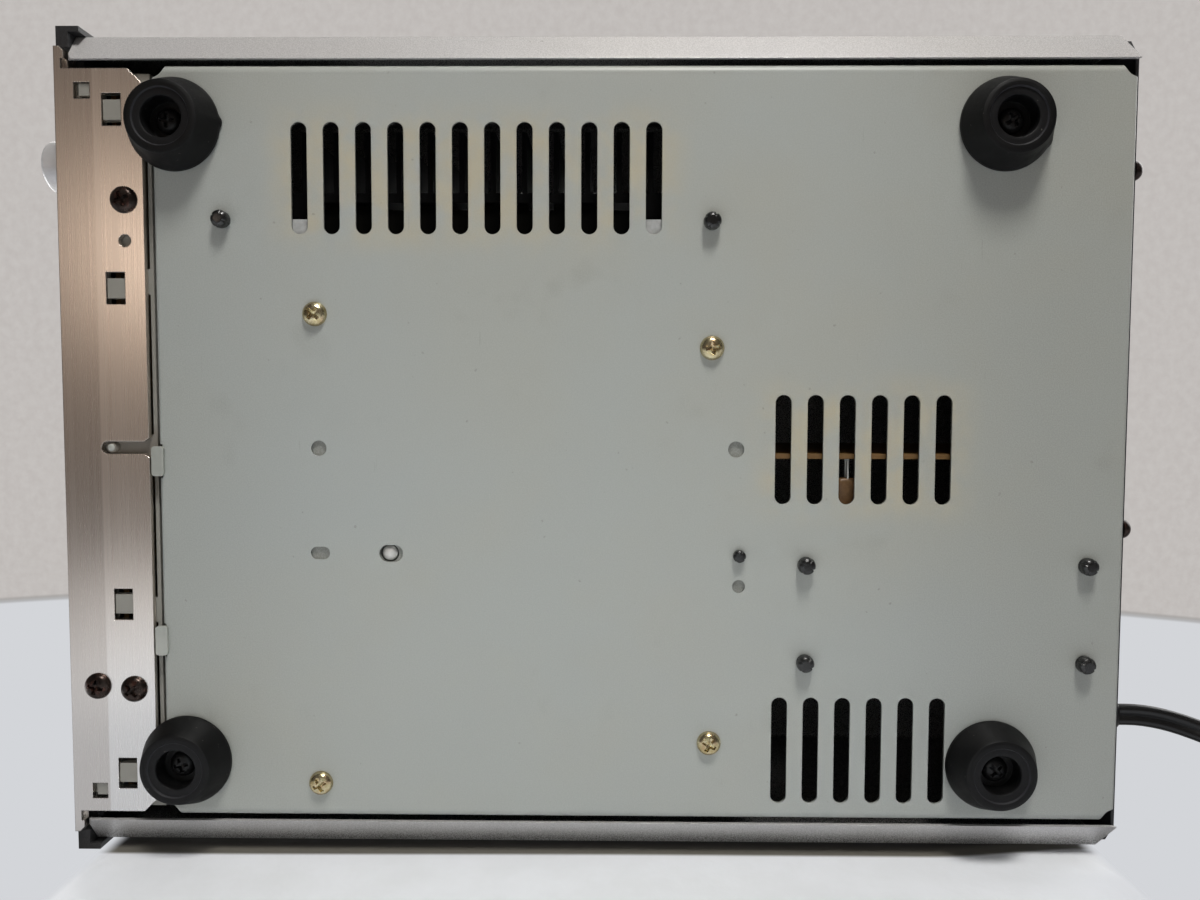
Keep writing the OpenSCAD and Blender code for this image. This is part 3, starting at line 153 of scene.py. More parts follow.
def tint(r, g, b):
    # screen values 0 to 255 as scene linear
    c = np.array([r, g, b]) / 255
    c = np.where(c < 0.04045, c / 12.92, ((c + 0.055) / 1.055) ** 2.4)
    return (*[float(x) for x in c], 1.0)


class Finish:
    # one material: fixed numbers go straight to the shader, the rest is fed by sockets
    def __init__(self, name, **fixed):
        self.material = bpy.data.materials.new(name)
        self.material.use_nodes = True
        self.tree = self.material.node_tree
        self.shader = self.tree.nodes["Principled BSDF"]
        for key, value in fixed.items():
            self.shader.inputs[key.replace("_", " ")].default_value = value
        self.place = Sock(self.tree.nodes.new("ShaderNodeTexCoord").outputs["Object"])

    def feed(self, name, socket):
        self.tree.links.new(socket.socket, self.shader.inputs[name])

    # rounded edges and a fine relief in one normal
    def relief(self, height, depth, edge=0.0003):
        inputs = {"Height": height, "Distance": depth, "Strength": 1.0}
        if edge:
            inputs["Normal"] = self.place.node("ShaderNodeBevel", {"samples": 6}, {"Radius": edge})
        self.feed("Normal", self.place.node("ShaderNodeBump", {}, inputs))


def paintedSheet(name, look):
    # stoved paint on sheet: soft mottling, specks, a few hair scratches and orange peel
    f = Finish(name, Specular_IOR_Level=look["gloss"], Metallic=look["metal"])
    p = f.place
    mottle = p.noise(14, 4, 0.6).rise(0.35, 0.7)
    haze = p.noise(5, 2, 0.5, (1.6, 0.5, 1)).rise(0.4, 0.65)
    colour = (mottle * 0.55).mix(look["colour"], look["warm"])
    colour = (haze * 0.5).mix(colour, look["cool"])
    if "ends" in look:  # painted shade: darker toward the front and the rear
        colour = (p.along(1).size().rise(0.06, 0.15) * 0.28).mix(colour, look["ends"])
    if "stains" in look:  # dust that the air has left between the vent slots
        for x, y, halfX, halfY in look["stains"]:
            across = (p.along(0) - x).size().rise(halfX + 0.010, halfX - 0.006)
            down = (p.along(1) - y).size().rise(halfY + 0.012, halfY - 0.004)
            spots = p.noise(70, 3, 0.6).rise(0.30, 0.72)
            colour = (across * down * spots * 0.85).mix(colour, look["dust"])
    if "recess" in look:  # painted shade in the holes: dark walls, and the sheet behind them darker than the plate but paler than the walls
        halfX, midY, halfY, level, backing = look["recess"]
        sunk = p.along(2).rise(level, level + 0.08 * mm) * p.along(0).size().rise(halfX + 1 * mm, halfX)
        sunk = sunk * (p.along(1) - midY).size().rise(halfY + 1 * mm, halfY)
        behind = p.along(2).rise(backing - 0.1 * mm, backing - 0.04 * mm)
        colour = (sunk * 0.9).mix(colour, behind.mix(look["holeWallShade"], look["backing"]))
    if "inside" in look:  # painted shade: the inner faces near-black, and the bevel that the unit is stood on darker
        side, bevelTop, roof = look["inside"]
        soft = 0.1 * mm
        within = p.along(0).size().rise(side + soft, side - soft) * p.along(2).rise(roof + soft, roof - soft)
        colour = (within * p.along(2).rise(bevelTop - soft, bevelTop + soft)).mix(colour, look["bare"])
        # painted shade: the lower bevel darker, as the light does not reach it
        bevel = p.along(2).rise(bevelTop + soft, bevelTop - soft)
        colour = (p.along(0).rise(*look["paintedShadeX"]) * bevel * 0.8).mix(colour, look["paintedShade"])
        # painted shadow along the bevel's lower edge, next to the table
        colour = (p.along(0).rise(*look["rimX"]) * bevel * 0.75).mix(colour, look["rim"])
    specks = p.noise(420, 1, 0.5).rise(0.77, 0.82)
    scuffs = p.noise(30, 3, 0.7).rise(0.62, 0.8)
    hairs = p.noise(55, 1, 0.5, (1, 14, 1)).rise(0.775, 0.80) * p.noise(9).rise(0.5, 0.6)
    marks = specks * 0.4 + scuffs * 0.16 + hairs * 0.22
    colour = marks.mix(colour, look["dirt"])
    flake = p.noise(2600, 1, 0.5)
    f.feed("Base Color", (flake.rise(0.3, 0.7) * look["flake"]).mix(colour, look["glint"]))
    f.feed("Roughness", look["rough"] + p.noise(40, 3, 0.6) * 0.10 + scuffs * 0.10)
    f.relief(p.noise(900, 2, 0.5), 0.00002, look["edge"])
    return f.material


def hairlineMetal(name, look):
    # brushed along X: streaks are long in X and fine in Y and Z
    f = Finish(name, Metallic=1.0)
    p = f.place
    fine = p.noise(1, 2, 0.6, (4, 5200, 5200))
    broad = p.noise(1, 2, 0.5, (1.5, 420, 420))
    streaks = fine * 0.65 + broad * 0.35
    colour = streaks.rise(0.28, 0.72).mix(look["dark"], look["light"])
    if "band" in look:  # painted shade: the front part of the flange darker than the rest
        edge, shade = look["band"]
        flange = p.along(2).rise(*look["flangeZ"])
        left = p.along(0).rise(*look["leftX"])  # painted reflection of the pale table: lighter toward this end
        colour = (left * flange * 0.8).mix(colour, look["left"])
        frontShade = p.along(1).rise(edge + 0.3 * mm, edge - 0.3 * mm)
        colour = (frontShade * flange * 0.5).mix(colour, shade)
    nicks = p.noise(120, 2, 0.6, (0.5, 1.6, 1.6)).rise(0.77, 0.80)
    f.feed("Base Color", (nicks * 0.5).mix(colour, look["nick"]))
    f.feed("Roughness", look["rough"] + streaks * 0.16)
    f.relief(streaks, 0.000006, look.get("edge", 0.0003))
    return f.material


def plainMetal(name, look):
    # rolled, drawn or plated metal with a cloudy surface
    f = Finish(name, Metallic=look.get("metal", 1.0))
    p = f.place
    cloud = p.noise(look.get("cloud", 160), 4, 0.6)
    colour = cloud.rise(0.3, 0.7).mix(look["dark"], look["light"])
    if "key" in look:  # painted shade from this height up, behind the flange; beside the keyhole darker and warmer, painted shade with a painted reflection of the panel
        low, x, paintedShade, shade = look["key"]
        beside = (p.along(0) - x).size().rise(14 * mm, 8 * mm)
        colour = p.along(2).rise(low, low + 0.2 * mm).mix(colour, beside.mix(shade, paintedShade))
    f.feed("Base Color", colour)
    f.feed("Roughness", look["rough"] + cloud * 0.16)
    f.relief(p.noise(1400, 2, 0.6), 0.00001, look.get("edge", 0.0002))
    return f.material


def platedScrew(name, look):
    # plating whose colour drifts over each head, with a blush in places
    f = Finish(name, Metallic=look["metal"])
    p = f.place
    drift = p.noise(330, 3, 0.6)
    blush = p.noise(520, 2, 0.5).rise(0.5, 0.68)
    colour = drift.rise(0.3, 0.7).mix(look["dark"], look["light"])
    f.feed("Base Color", (blush * 0.55).mix(colour, look["blush"]))
    f.feed("Roughness", look["rough"] + p.noise(900, 2, 0.5) * 0.14)
    f.relief(p.noise(1800, 2, 0.6), 0.000012, 0)
    return f.material


def moulded(name, look):
    # injection moulded: spark-eroded grain, faint dust
    f = Finish(name, Specular_IOR_Level=look.get("gloss", 0.5))
    p = f.place
    grain = p.noise(look.get("grain", 2600), 2, 0.6)
    dust = p.noise(26, 4, 0.65).rise(0.45, 0.8)
    colour = grain.rise(0.25, 0.75).mix(look["dark"], look["light"])
    colour = (dust * look.get("dusty", 0.25)).mix(colour, look.get("dust", tint(92, 90, 86)))
    if "blades" in look:  # bright metal past this place along Y
        past = p.along(1).rise(look["blades"] - 0.0001, look["blades"] + 0.0001)
        colour = past.mix(colour, tint(214, 196, 150))
        f.feed("Metallic", past)
    f.feed("Base Color", colour)
    f.feed("Roughness", look["rough"] + grain * 0.12 + dust * 0.08)
    f.relief(grain, look.get("depth", 0.000012), look.get("edge", 0.0003))
    return f.material


def rubber(name, look):
    # bloomed rubber: matt, greyer on worn high spots
    f = Finish(name, Specular_IOR_Level=look.get("gloss", 0.35))
    p = f.place
    bloom = p.noise(90, 5, 0.7).rise(0.4, 0.75)
    pits = p.noise(1500, 2, 0.6)
    lint = p.noise(600, 1, 0.5, (1, 1, 3)).rise(0.76, 0.82)
    colour = bloom.mix(look["dark"], look["light"])
    if "tips" in look:  # on each foot a ring with a painted sheen, a painted highlight on its edge and painted shade in the bore
        acrossX, midY, acrossY = look["tips"]
        offX, offY = p.along(0).size() - acrossX, (p.along(1) - midY).size() - acrossY
        r = (offX * offX + offY * offY) ** 0.5  # from the axis of the nearest foot
        tip = p.along(2).rise(1.6 * mm, 1.0 * mm)
        step, bore = look["radii"]
        ring = r.rise(step, step - 0.2 * mm) * r.rise(bore, bore + 0.3 * mm)
        colour = (ring * tip).mix(colour, look["ring"])
        deep = r.rise(bore, bore - 0.4 * mm) * p.along(2).rise(0.2 * mm, 3.0 * mm)
        colour = deep.mix(colour, look["bore"])
        edge = (r - step).size().rise(0.28 * mm, 0.06 * mm)
        colour = (edge * tip * 0.7).mix(colour, look["edgeHighlight"])
    f.feed("Base Color", (lint * 0.4).mix(colour, tint(120, 118, 112)))
    f.feed("Roughness", look.get("rough", 0.52) + bloom * 0.2)
    f.relief(pits, 0.000025, look.get("edge", 0.0003))
    return f.material


def anodised(name, look):
    # dyed black aluminium whose feet are left bare; the dye is darkened to near-black as painted shade
    f = Finish(name, Metallic=look["metal"], Specular_IOR_Level=look["gloss"])
    p = f.place
    cloud = p.noise(240, 4, 0.6)
    bare = p.along(2).rise(look["bareZ"] + 0.0004, look["bareZ"] - 0.0004)
    dyed = cloud.rise(0.3, 0.7).mix(look["dark"], look["light"])
    f.feed("Base Color", bare.mix(dyed, cloud.rise(0.3, 0.7).mix(look["bareDark"], look["bareLight"])))
    f.feed("Roughness", look["rough"] + cloud * 0.14)
    f.relief(p.noise(1400, 2, 0.6), 0.00001, 0.0002)
    return f.material


def laminate(name, look):
    # paper board: warm brown, darker tracks below the lacquer
    f = Finish(name, Specular_IOR_Level=look.get("gloss", 0.4))
    p = f.place
    fibre = p.noise(300, 3, 0.7, (1, 1, 4))
    tracks = p.cells(140, (1, 0.4, 1)).rise(0.28, 0.34)
    colour = fibre.mix(look["dark"], look["light"])
    f.feed("Base Color", (tracks * 0.35).mix(colour, look["track"]))
    f.feed("Roughness", 0.42 + fibre * 0.2)
    f.relief(tracks, 0.00003, 0)
    return f.material


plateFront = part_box("bottom_plate")[0].y
slotRows = [  # middle and half size of the two groups that gather dust
    (0.0838, plateFront + 0.1007, 0.017, 0.0575),
    (0.0, plateFront + 0.2216, 0.017, 0.0275),
]
finishes = {
    "plate_paint": paintedSheet("platePaint", {
        "colour": tint(170, 174, 170), "warm": tint(172, 171, 160), "cool": tint(168, 175, 176),
        "dust": tint(188, 178, 150), "dirt": tint(108, 103, 95), "glint": tint(188, 190, 186), "flake": 0.3,
        "metal": 0.0, "gloss": 0.45, "rough": 0.36, "edge": 0.0004, "stains": slotRows,
        "recess": (0.112, plateFront + 0.152, 0.145, 0.01003, 0.011), "holeWallShade": tint(48, 48, 44),
        "backing": tint(138, 139, 132), "ends": tint(118, 117, 106)}),
    "rear_paint": paintedSheet("rearPaint", {
        "colour": tint(30, 30, 32), "warm": tint(33, 32, 31), "cool": tint(28, 29, 31),
        "dirt": tint(58, 56, 53), "glint": tint(46, 46, 48), "flake": 0.2,
        "metal": 0.0, "gloss": 0.45, "rough": 0.40, "edge": 0.0004}),
    "cover_paint": paintedSheet("coverPaint", {
        "inside": (0.1284, 0.0172, 0.1092), "bare": tint(22, 22, 22),
        "paintedShade": tint(122, 121, 113), "paintedShadeX": (-0.119, -0.1295),
        "rim": tint(46, 45, 41), "rimX": (-0.1232, -0.1292),
        "colour": tint(186, 184, 184), "warm": tint(184, 181, 177), "cool": tint(190, 190, 192),
        "dirt": tint(120, 117, 112), "glint": tint(224, 222, 222), "flake": 0.5,
        "metal": 0.3, "gloss": 0.5, "rough": 0.34, "edge": 0.0004}),
    "panel_aluminium": hairlineMetal("panelAluminium", {
        "dark": tint(214, 204, 195), "light": tint(222, 213, 204), "nick": tint(245, 240, 235),
        "band": (plateFront - 0.0184, tint(186, 177, 169)), "left": tint(230, 230, 229),
        "leftX": (-0.035, -0.100), "flangeZ": (0.014, 0.012), "rough": 0.20}),
    "key_aluminium": hairlineMetal("keyAluminium", {
        "dark": tint(204, 198, 192), "light": tint(232, 227, 222), "nick": tint(245, 240, 235), "rough": 0.18,
        "edge": 0.0005}),
    "knob_silver": plainMetal("knobSilver", {
        "dark": tint(206, 205, 206), "light": tint(226, 225, 226), "rough": 0.36, "cloud": 60,
        "metal": 0.45}),
    "frame_black": moulded("frameBlack", {
        "dark": tint(26, 26, 27), "light": tint(46, 46, 48), "rough": 0.44, "dusty": 0.26}),
    # black plastic darkened further to near-black: painted shade inside the unit
    "frame_shade": moulded("frameShade", {
        "dark": tint(7, 7, 8), "light": tint(13, 13, 14), "rough": 0.6, "dusty": 0.03, "gloss": 0.08}),
    "tray_black": moulded("trayBlack", {
        "dark": tint(26, 26, 28), "light": tint(42, 42, 45), "rough": 0.46, "dusty": 0.08}),
    "bracket_zinc": plainMetal("bracketZinc", {
        "dark": tint(158, 158, 152), "light": tint(182, 182, 176), "rough": 0.40, "cloud": 90, "metal": 0.2}),
    "bracket_sheet": plainMetal("bracketSheet", {
        "dark": tint(158, 160, 154), "light": tint(178, 180, 174), "rough": 0.40, "cloud": 90, "metal": 0.1,
        "key": (0.0105, -0.005, tint(124, 119, 111), tint(146, 144, 137))}),
    "window_smoke": moulded("windowSmoke", {
        "dark": tint(10, 11, 13), "light": tint(14, 15, 17), "rough": 0.04, "depth": 0.000001, "dusty": 0.04,
        "gloss": 0.6}),
    "display_glass": moulded("displayGlass", {
        "dark": tint(40, 52, 54), "light": tint(58, 70, 72), "rough": 0.08, "depth": 0.000002,
        "dusty": 0.05}),
    "board_brown": laminate("boardBrown", {
        "dark": tint(110, 80, 44), "light": tint(144, 108, 63), "track": tint(88, 70, 40)}),
    # the boards darkened to near-black: painted shade inside the unit
    "board_shade": laminate("boardShade", {
        "dark": tint(5, 5, 4), "light": tint(8, 8, 6), "track": tint(11, 11, 8), "gloss": 0.06}),
    "sink_aluminium": anodised("sinkAluminium", {
        "dark": tint(5, 5, 5), "light": tint(9, 9, 10), "bareDark": tint(150, 151, 150),
        "bareLight": tint(182, 183, 182), "bareZ": 0.0131, "metal": 0.0, "rough": 0.6, "gloss": 0.06}),
    "core_steel": plainMetal("coreSteel", {
        "dark": tint(54, 50, 48), "light": tint(88, 82, 76), "rough": 0.42, "metal": 0.6, "cloud": 500}),
    "nylon_black": moulded("nylonBlack", {
        "dark": tint(14, 15, 15), "light": tint(24, 25, 25), "rough": 0.18, "dusty": 0.10, "gloss": 0.6}),
    "foot_rubber": rubber("footRubber", {
        "dark": tint(3, 3, 4), "light": tint(9, 9, 10), "edge": 0.0001, "gloss": 0.25, "rough": 0.48,
        "tips": (0.100, 0.000725, 0.12805), "radii": (8.6 * mm, 6.0 * mm), "ring": tint(12, 12, 14),
        "edgeHighlight": tint(52, 52, 56), "bore": tint(1, 1, 1)}),
    "screw_black": platedScrew("screwBlack", {
        "dark": tint(34, 27, 24), "light": tint(62, 51, 46), "blush": tint(82, 50, 42), "rough": 0.22,
        "metal": 0.75}),
    "screw_dull": platedScrew("screwDull", {
        "dark": tint(16, 16, 17), "light": tint(30, 30, 31), "blush": tint(22, 21, 22), "rough": 0.30,
        "metal": 0.5}),
    "screw_yellow": platedScrew("screwYellow", {
        "dark": tint(172, 154, 110), "light": tint(216, 206, 172), "blush": tint(194, 162, 132),
        "rough": 0.18, "metal": 1.0}),
    "post_steel": plainMetal("postSteel", {
        "dark": tint(198, 197, 192), "light": tint(226, 225, 221), "rough": 0.26, "metal": 0.3}),
    "motor_steel": plainMetal("motorSteel", {
        "dark": tint(140, 142, 145), "light": tint(180, 182, 184), "rough": 0.28}),
    "belt_rubber": rubber("beltRubber", {"dark": tint(20, 20, 20), "light": tint(34, 34, 34)}),
    "gear_nylon": moulded("gearNylon", {
        "dark": tint(218, 212, 196), "light": tint(236, 231, 218), "rough": 0.4, "dusty": 0.06}),
    "drive_black": moulded("driveBlack", {
        "dark": tint(24, 24, 26), "light": tint(40, 40, 43), "rough": 0.36, "dusty": 0.05}),
    "cord_vinyl": moulded("cordVinyl", {
        "dark": tint(5, 5, 6), "light": tint(10, 10, 11), "rough": 0.28, "dusty": 0.04, "grain": 1500,
        "depth": 0.000006}),
    "plug_vinyl": moulded("plugVinyl", {
        "dark": tint(18, 18, 19), "light": tint(30, 30, 31), "rough": 0.26, "dusty": 0.12, "grain": 1500,
        "depth": 0.000006, "blades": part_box("plug")[1].y - 0.0171}),
    "lever_red": moulded("leverRed", {
        "dark": tint(150, 26, 28), "light": tint(176, 36, 38), "rough": 0.28, "dusty": 0.06}),
    "lever_black": moulded("leverBlack", {
        "dark": tint(22, 22, 23), "light": tint(36, 36, 38), "rough": 0.28, "dusty": 0.08}),
}
ownFinish = {"main_board": "board_shade", "power_board": "board_shade", "plug": "plug_vinyl",
             "front_bracket": "bracket_sheet", "loader_frame": "frame_shade"}
for part in frame["record"]["subparts"]:
    slots = nodes[part["node"]].data.materials
    slots.clear()
    slots.append(finishes[ownFinish.get(part["node"], part["material_slot"])])
print("finishes made:", len(finishes))


# surfaces: grids of points that become one mesh

def quads(rows, cols, wrapRows, wrapCols):
    i = np.arange(rows if wrapRows else rows - 1)
    j = np.arange(cols if wrapCols else cols - 1)
    a, b = np.meshgrid(i, j, indexing="ij")
    c, d = (a + 1) % rows, (b + 1) % cols
    return np.stack([a * cols + b, a * cols + d, c * cols + d, c * cols + b], -1).reshape(-1, 4)


def addPiece(name, grids, slot, body="case", sharpDeg=38.0, replaces=(), finish=None):
    # grids: (points of shape rows x cols x 3, wraps in rows, wraps in cols); finish: other than the slot's
    points, faces, start = [], [], 0
    for grid, wrapRows, wrapCols in grids:
        rows, cols = grid.shape[:2]
        points.append(grid.reshape(-1, 3))
        faces.append(quads(rows, cols, wrapRows, wrapCols) + start)
        start += rows * cols
    points, faces = np.concatenate(points), np.concatenate(faces)
    mesh = bpy.data.meshes.new(name)
    mesh.from_pydata(points.tolist(), [], faces.tolist())
    work = bmesh.new()
    work.from_mesh(mesh)
    bmesh.ops.remove_doubles(work, verts=work.verts, dist=1e-7)
    bmesh.ops.recalc_face_normals(work, faces=work.faces)
    work.to_mesh(mesh)
    work.free()
    mesh.polygons.foreach_set("use_smooth", np.ones(len(mesh.polygons), bool))
    mesh.set_sharp_from_angle(angle=math.radians(sharpDeg))
    mesh.materials.append(finishes[finish or slot])
    made = bpy.data.objects.new(name, mesh)
    bpy.context.scene.collection.objects.link(made)
    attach(made, body)
    if replaces:
        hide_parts(*replaces)
    return made


def signedPower(v, power):
    return np.sign(v) * np.abs(v) ** power


def softCorners(points, radius, steps=5):
    # each corner becomes a parabola between points one radius along its two sides
    p = np.asarray(points, float)
    before, at, after = p[:-2], p[1:-1], p[2:]
    toBefore, toAfter = before - at, after - at
    lenBefore = np.linalg.norm(toBefore, axis=1, keepdims=True)
    lenAfter = np.linalg.norm(toAfter, axis=1, keepdims=True)
    a = at + toBefore / lenBefore * np.minimum(radius, 0.45 * lenBefore)
    b = at + toAfter / lenAfter * np.minimum(radius, 0.45 * lenAfter)
    t = np.linspace(0, 1, steps)[None, :, None]
    curve = (1 - t) ** 2 * a[:, None] + 2 * t * (1 - t) * at[:, None] + t ** 2 * b[:, None]
    return np.concatenate([p[:1], curve.reshape(-1, 2), p[-1:]])


def turned(centre, axis, r, h, angles):
    # r and h of shape rows x angles: a point lies r across the axis at its angle and h along the axis
    axis = np.asarray(axis, float)
    side = np.array([1.0, 0, 0]) if abs(axis[0]) < 0.5 else np.array([0, 1.0, 0])
    other = np.cross(axis, side)
    across = np.cos(angles)[..., None] * side + np.sin(angles)[..., None] * other
    return np.asarray(centre, float) + r[..., None] * across + h[..., None] * axis


def lathe(centre, axis, profile, count, ripple=None):
    # profile rows (radius, height) carried round the axis; ripple scales the radius by row and angle
    r, h = np.asarray(profile, float).T
    angles = np.arange(count) * 2 * np.pi / count
    r = np.repeat(r[:, None], count, 1)
    h = np.repeat(h[:, None], count, 1)
    if ripple is not None:
        r = r * ripple(h, angles[None, :])
    return turned(centre, axis, r, h, np.repeat(angles[None, :], len(r), 0)), False, True


def solidBoxes(node):
    # corners of each separate solid of a node: the lowest label spreads along triangles until it settles
    mesh = nodes[node].data
    co = np.empty(len(mesh.vertices) * 3, np.float32)
    mesh.vertices.foreach_get("co", co)
    corners = np.empty(len(mesh.loops), np.int32)
    mesh.loops.foreach_get("vertex_index", corners)
    points, same = np.unique(np.round(co.reshape(-1, 3), 6), axis=0, return_inverse=True)
    triangles = same.ravel()[corners].reshape(-1, 3)
    label, settled = np.arange(len(points)), False
    while not settled:
        spread = label.copy()
        np.minimum.at(spread, triangles.ravel(), np.repeat(label[triangles].min(1), 3))
        settled = bool((spread == label).all())
        label = spread
    return [(points[label == k].min(0), points[label == k].max(0)) for k in np.unique(label)]


# mains cord: a figure-of-eight section along the route of the solids

cord = {
    "width": 7 * mm, "thick": 3.5 * mm, "web": 0.95 * mm,
    "exitY": 0.175475, "exitX": -0.088, "exitZ": 0.023, "restZ": 0.00185,
    "lead": 15 * mm, "fallR": 32 * mm, "level": 24 * mm,
    "veer": 13 * mm, "veerFrom": 3 * mm, "veerRun": 57 * mm,
    "coilR": 41 * mm, "pitch": 8.4 * mm, "turns": 3, "layer": 4.2 * mm, "perTurn": 48,
    "plugHalf": 12 * mm, "plugNeck": 12 * mm, "plugGap": 0.6 * mm,
}


def cordRoute(c):
    # out, two equal arcs down to the floor while it veers left, then the coil:
    # inward turn by turn on the floor, outward again on top of that
    drop = c["exitZ"] - c["restZ"]
    bend = math.acos(1 - drop / (2 * c["fallR"]))
    run = 2 * c["fallR"] * math.sin(bend)
    a = np.linspace(0, bend, 9)
    start = np.array([0, 1, 2, 3, 4]) * c["veerFrom"]
    y = np.concatenate([start, c["lead"] + c["fallR"] * np.sin(a),
                        c["lead"] + run - c["fallR"] * np.sin(a[-2::-1]), [c["lead"] + run + c["level"] / 2]])
    z = np.concatenate([[c["exitZ"]] * 5, c["exitZ"] - c["fallR"] * (1 - np.cos(a)),
                        c["restZ"] + c["fallR"] * (1 - np.cos(a[-2::-1])), [c["restZ"]]])
    t = np.clip((y - c["veerFrom"]) / c["veerRun"], 0, 1)
    fall = np.stack([c["exitX"] - c["veer"] * t * t * (3 - 2 * t), c["exitY"] + y, z], -1)
    farX = c["exitX"] - c["veer"]
    outer = c["coilR"] + c["pitch"] * c["turns"] / 2
    centre = np.array([farX + outer, c["exitY"] + c["lead"] + run + c["level"]])
    n = np.arange(2 * c["turns"] * c["perTurn"] + 1) / c["perTurn"]
    radius = outer - c["pitch"] * (c["turns"] - np.abs(n - c["turns"]))
    lift = c["layer"] * np.clip((n - c["turns"] + 0.25) / 0.5, 0, 1)
    turn = np.pi - 2 * np.pi * n
    coil = np.stack([centre[0] + radius * np.cos(turn), centre[1] + radius * np.sin(turn),
                     c["restZ"] + lift], -1)
    side = c["plugHalf"] + c["width"] / 2 + c["plugGap"]
    out = math.sqrt(outer ** 2 - (outer - side) ** 2) - c["plugNeck"]
    end = [[farX, centre[1] + out * k, c["restZ"] + c["layer"]] for k in (0.5, 1.0)]
    return np.concatenate([fall, coil, end]), centre, outer


def flatSection(c, count=28):
    # two round cores side by side; where they meet, a web keeps a least thickness
    t = np.arange(count) * 2 * np.pi / count
    across = c["width"] / 2 * np.cos(t)
    core = c["width"] / 4
    rise = np.sqrt(np.clip(core ** 2 - (np.abs(across) - core) ** 2, 0, None))
    rise = np.where(np.abs(across) < core, np.maximum(rise, c["web"]), rise) * c["thick"] / (2 * core)
    return across, np.sign(np.sin(t)) * rise * (np.abs(np.sin(t)) > 1e-6)


def swept(route, across, up):
    # the section stands square to the route with its width level
    along = np.gradient(route, axis=0)
    along /= np.linalg.norm(along, axis=1, keepdims=True)
    level = np.cross(along, [0, 0, 1.0])
    level /= np.linalg.norm(level, axis=1, keepdims=True)
    upward = np.cross(level, along)
    rings = route[:, None] + across[None, :, None] * level[:, None] + up[None, :, None] * upward[:, None]
    ends = [np.repeat(route[k][None, None], len(across), 1) for k in (0, -1)]
    return np.concatenate([ends[0], rings, ends[1]])


route, coilCentre, coilOuter = cordRoute(cord)
mainsCord = addPiece("mains_cord", [(swept(route, *flatSection(cord)), False, True)], "cord_vinyl",
                     sharpDeg=60, replaces=("power_cord", "cord_coil"))

tie = {"halfWidth": 2.2 * mm, "turnDeg": -35.0, "thick": 0.5 * mm, "under": 0.03 * mm, "gap": 0.35 * mm,
       "square": 0.22, "wallSquare": 0.6}


def tieBand(c, t):
    # a flat band round all the turns at one place: a rounded box in the plane of radius and height
    inner = coilOuter - c["pitch"] * c["turns"] - c["width"] / 2 - t["gap"]
    outer = coilOuter + c["width"] / 2 + t["gap"]
    top = c["restZ"] + c["layer"] + c["thick"] / 2 + t["gap"]
    s = np.linspace(0, 2 * np.pi, 97)[:-1]
    ringR = (inner + outer) / 2 + (outer - inner) / 2 * signedPower(np.cos(s), t["square"])
    ringZ = top / 2 + top / 2 * signedPower(np.sin(s), t["square"])
    ringZ = np.maximum(ringZ, 0.05 * mm)
    wall = np.where(np.sin(s) < -0.2, t["under"], t["thick"])
    offR, offZ = signedPower(np.cos(s), t["wallSquare"]), signedPower(np.sin(s), t["wallSquare"])
    a = math.radians(t["turnDeg"])
    radial, tangent = np.array([math.cos(a), math.sin(a), 0]), np.array([-math.sin(a), math.cos(a), 0])
    rows = []
    for side, lift in ((-1, 0), (1, 0), (1, 1), (-1, 1)):
        r, z = ringR + offR * wall * lift, np.maximum(ringZ + offZ * wall * lift, 0.01 * mm)
        rows.append(np.array([*coilCentre, 0]) + r[:, None] * radial + z[:, None] * np.array([0, 0, 1.0])
                    + side * t["halfWidth"] * tangent)
    return np.stack(rows, 1), True, True


cordTie = addPiece("cord_tie", [tieBand(cord, tie)], "cord_vinyl", sharpDeg=50)

bushing = {  # half width, half height, distance from the rear face, squareness of the section
    "rows": [(3.6, 3.1, -7.9, 5), (4.0, 3.5, -7.5, 5), (4.0, 3.5, 0.0, 6), (4.1, 4.6, 0.0, 5),
             (4.38, 4.95, 0.25, 5), (4.38, 4.95, 1.3, 5), (4.2, 4.5, 1.7, 4), (4.05, 3.4, 3.4, 3.4),
             (3.95, 2.7, 5.2, 3), (3.75, 2.4, 5.48, 3)],
    "segments": 64,
}


def loft(b, centre):
    # superellipse sections along Y, closed at both ends
    t = np.arange(b["segments"]) * 2 * np.pi / b["segments"]
    w, h, y, n = np.array([b["rows"][0], *b["rows"], b["rows"][-1]], float).T[..., None]
    shut = np.r_[0, np.ones(len(b["rows"])), 0][:, None]
    x = w * shut * signedPower(np.cos(t), 2 / n)
    z = h * shut * signedPower(np.sin(t), 2 / n)
    return np.asarray(centre) + np.stack([x, y + 0 * t, z], -1) * mm, False, True


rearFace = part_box("rear_panel")[1].y
addPiece("cord_grommet", [loft(bushing, (cord["exitX"], rearFace, cord["exitZ"]))], "cord_vinyl", sharpDeg=50,
         replaces=("cord_bushing",))


# feet: a cone with a stepped ring and a deep bore, and the trace of the mould's gate on one side

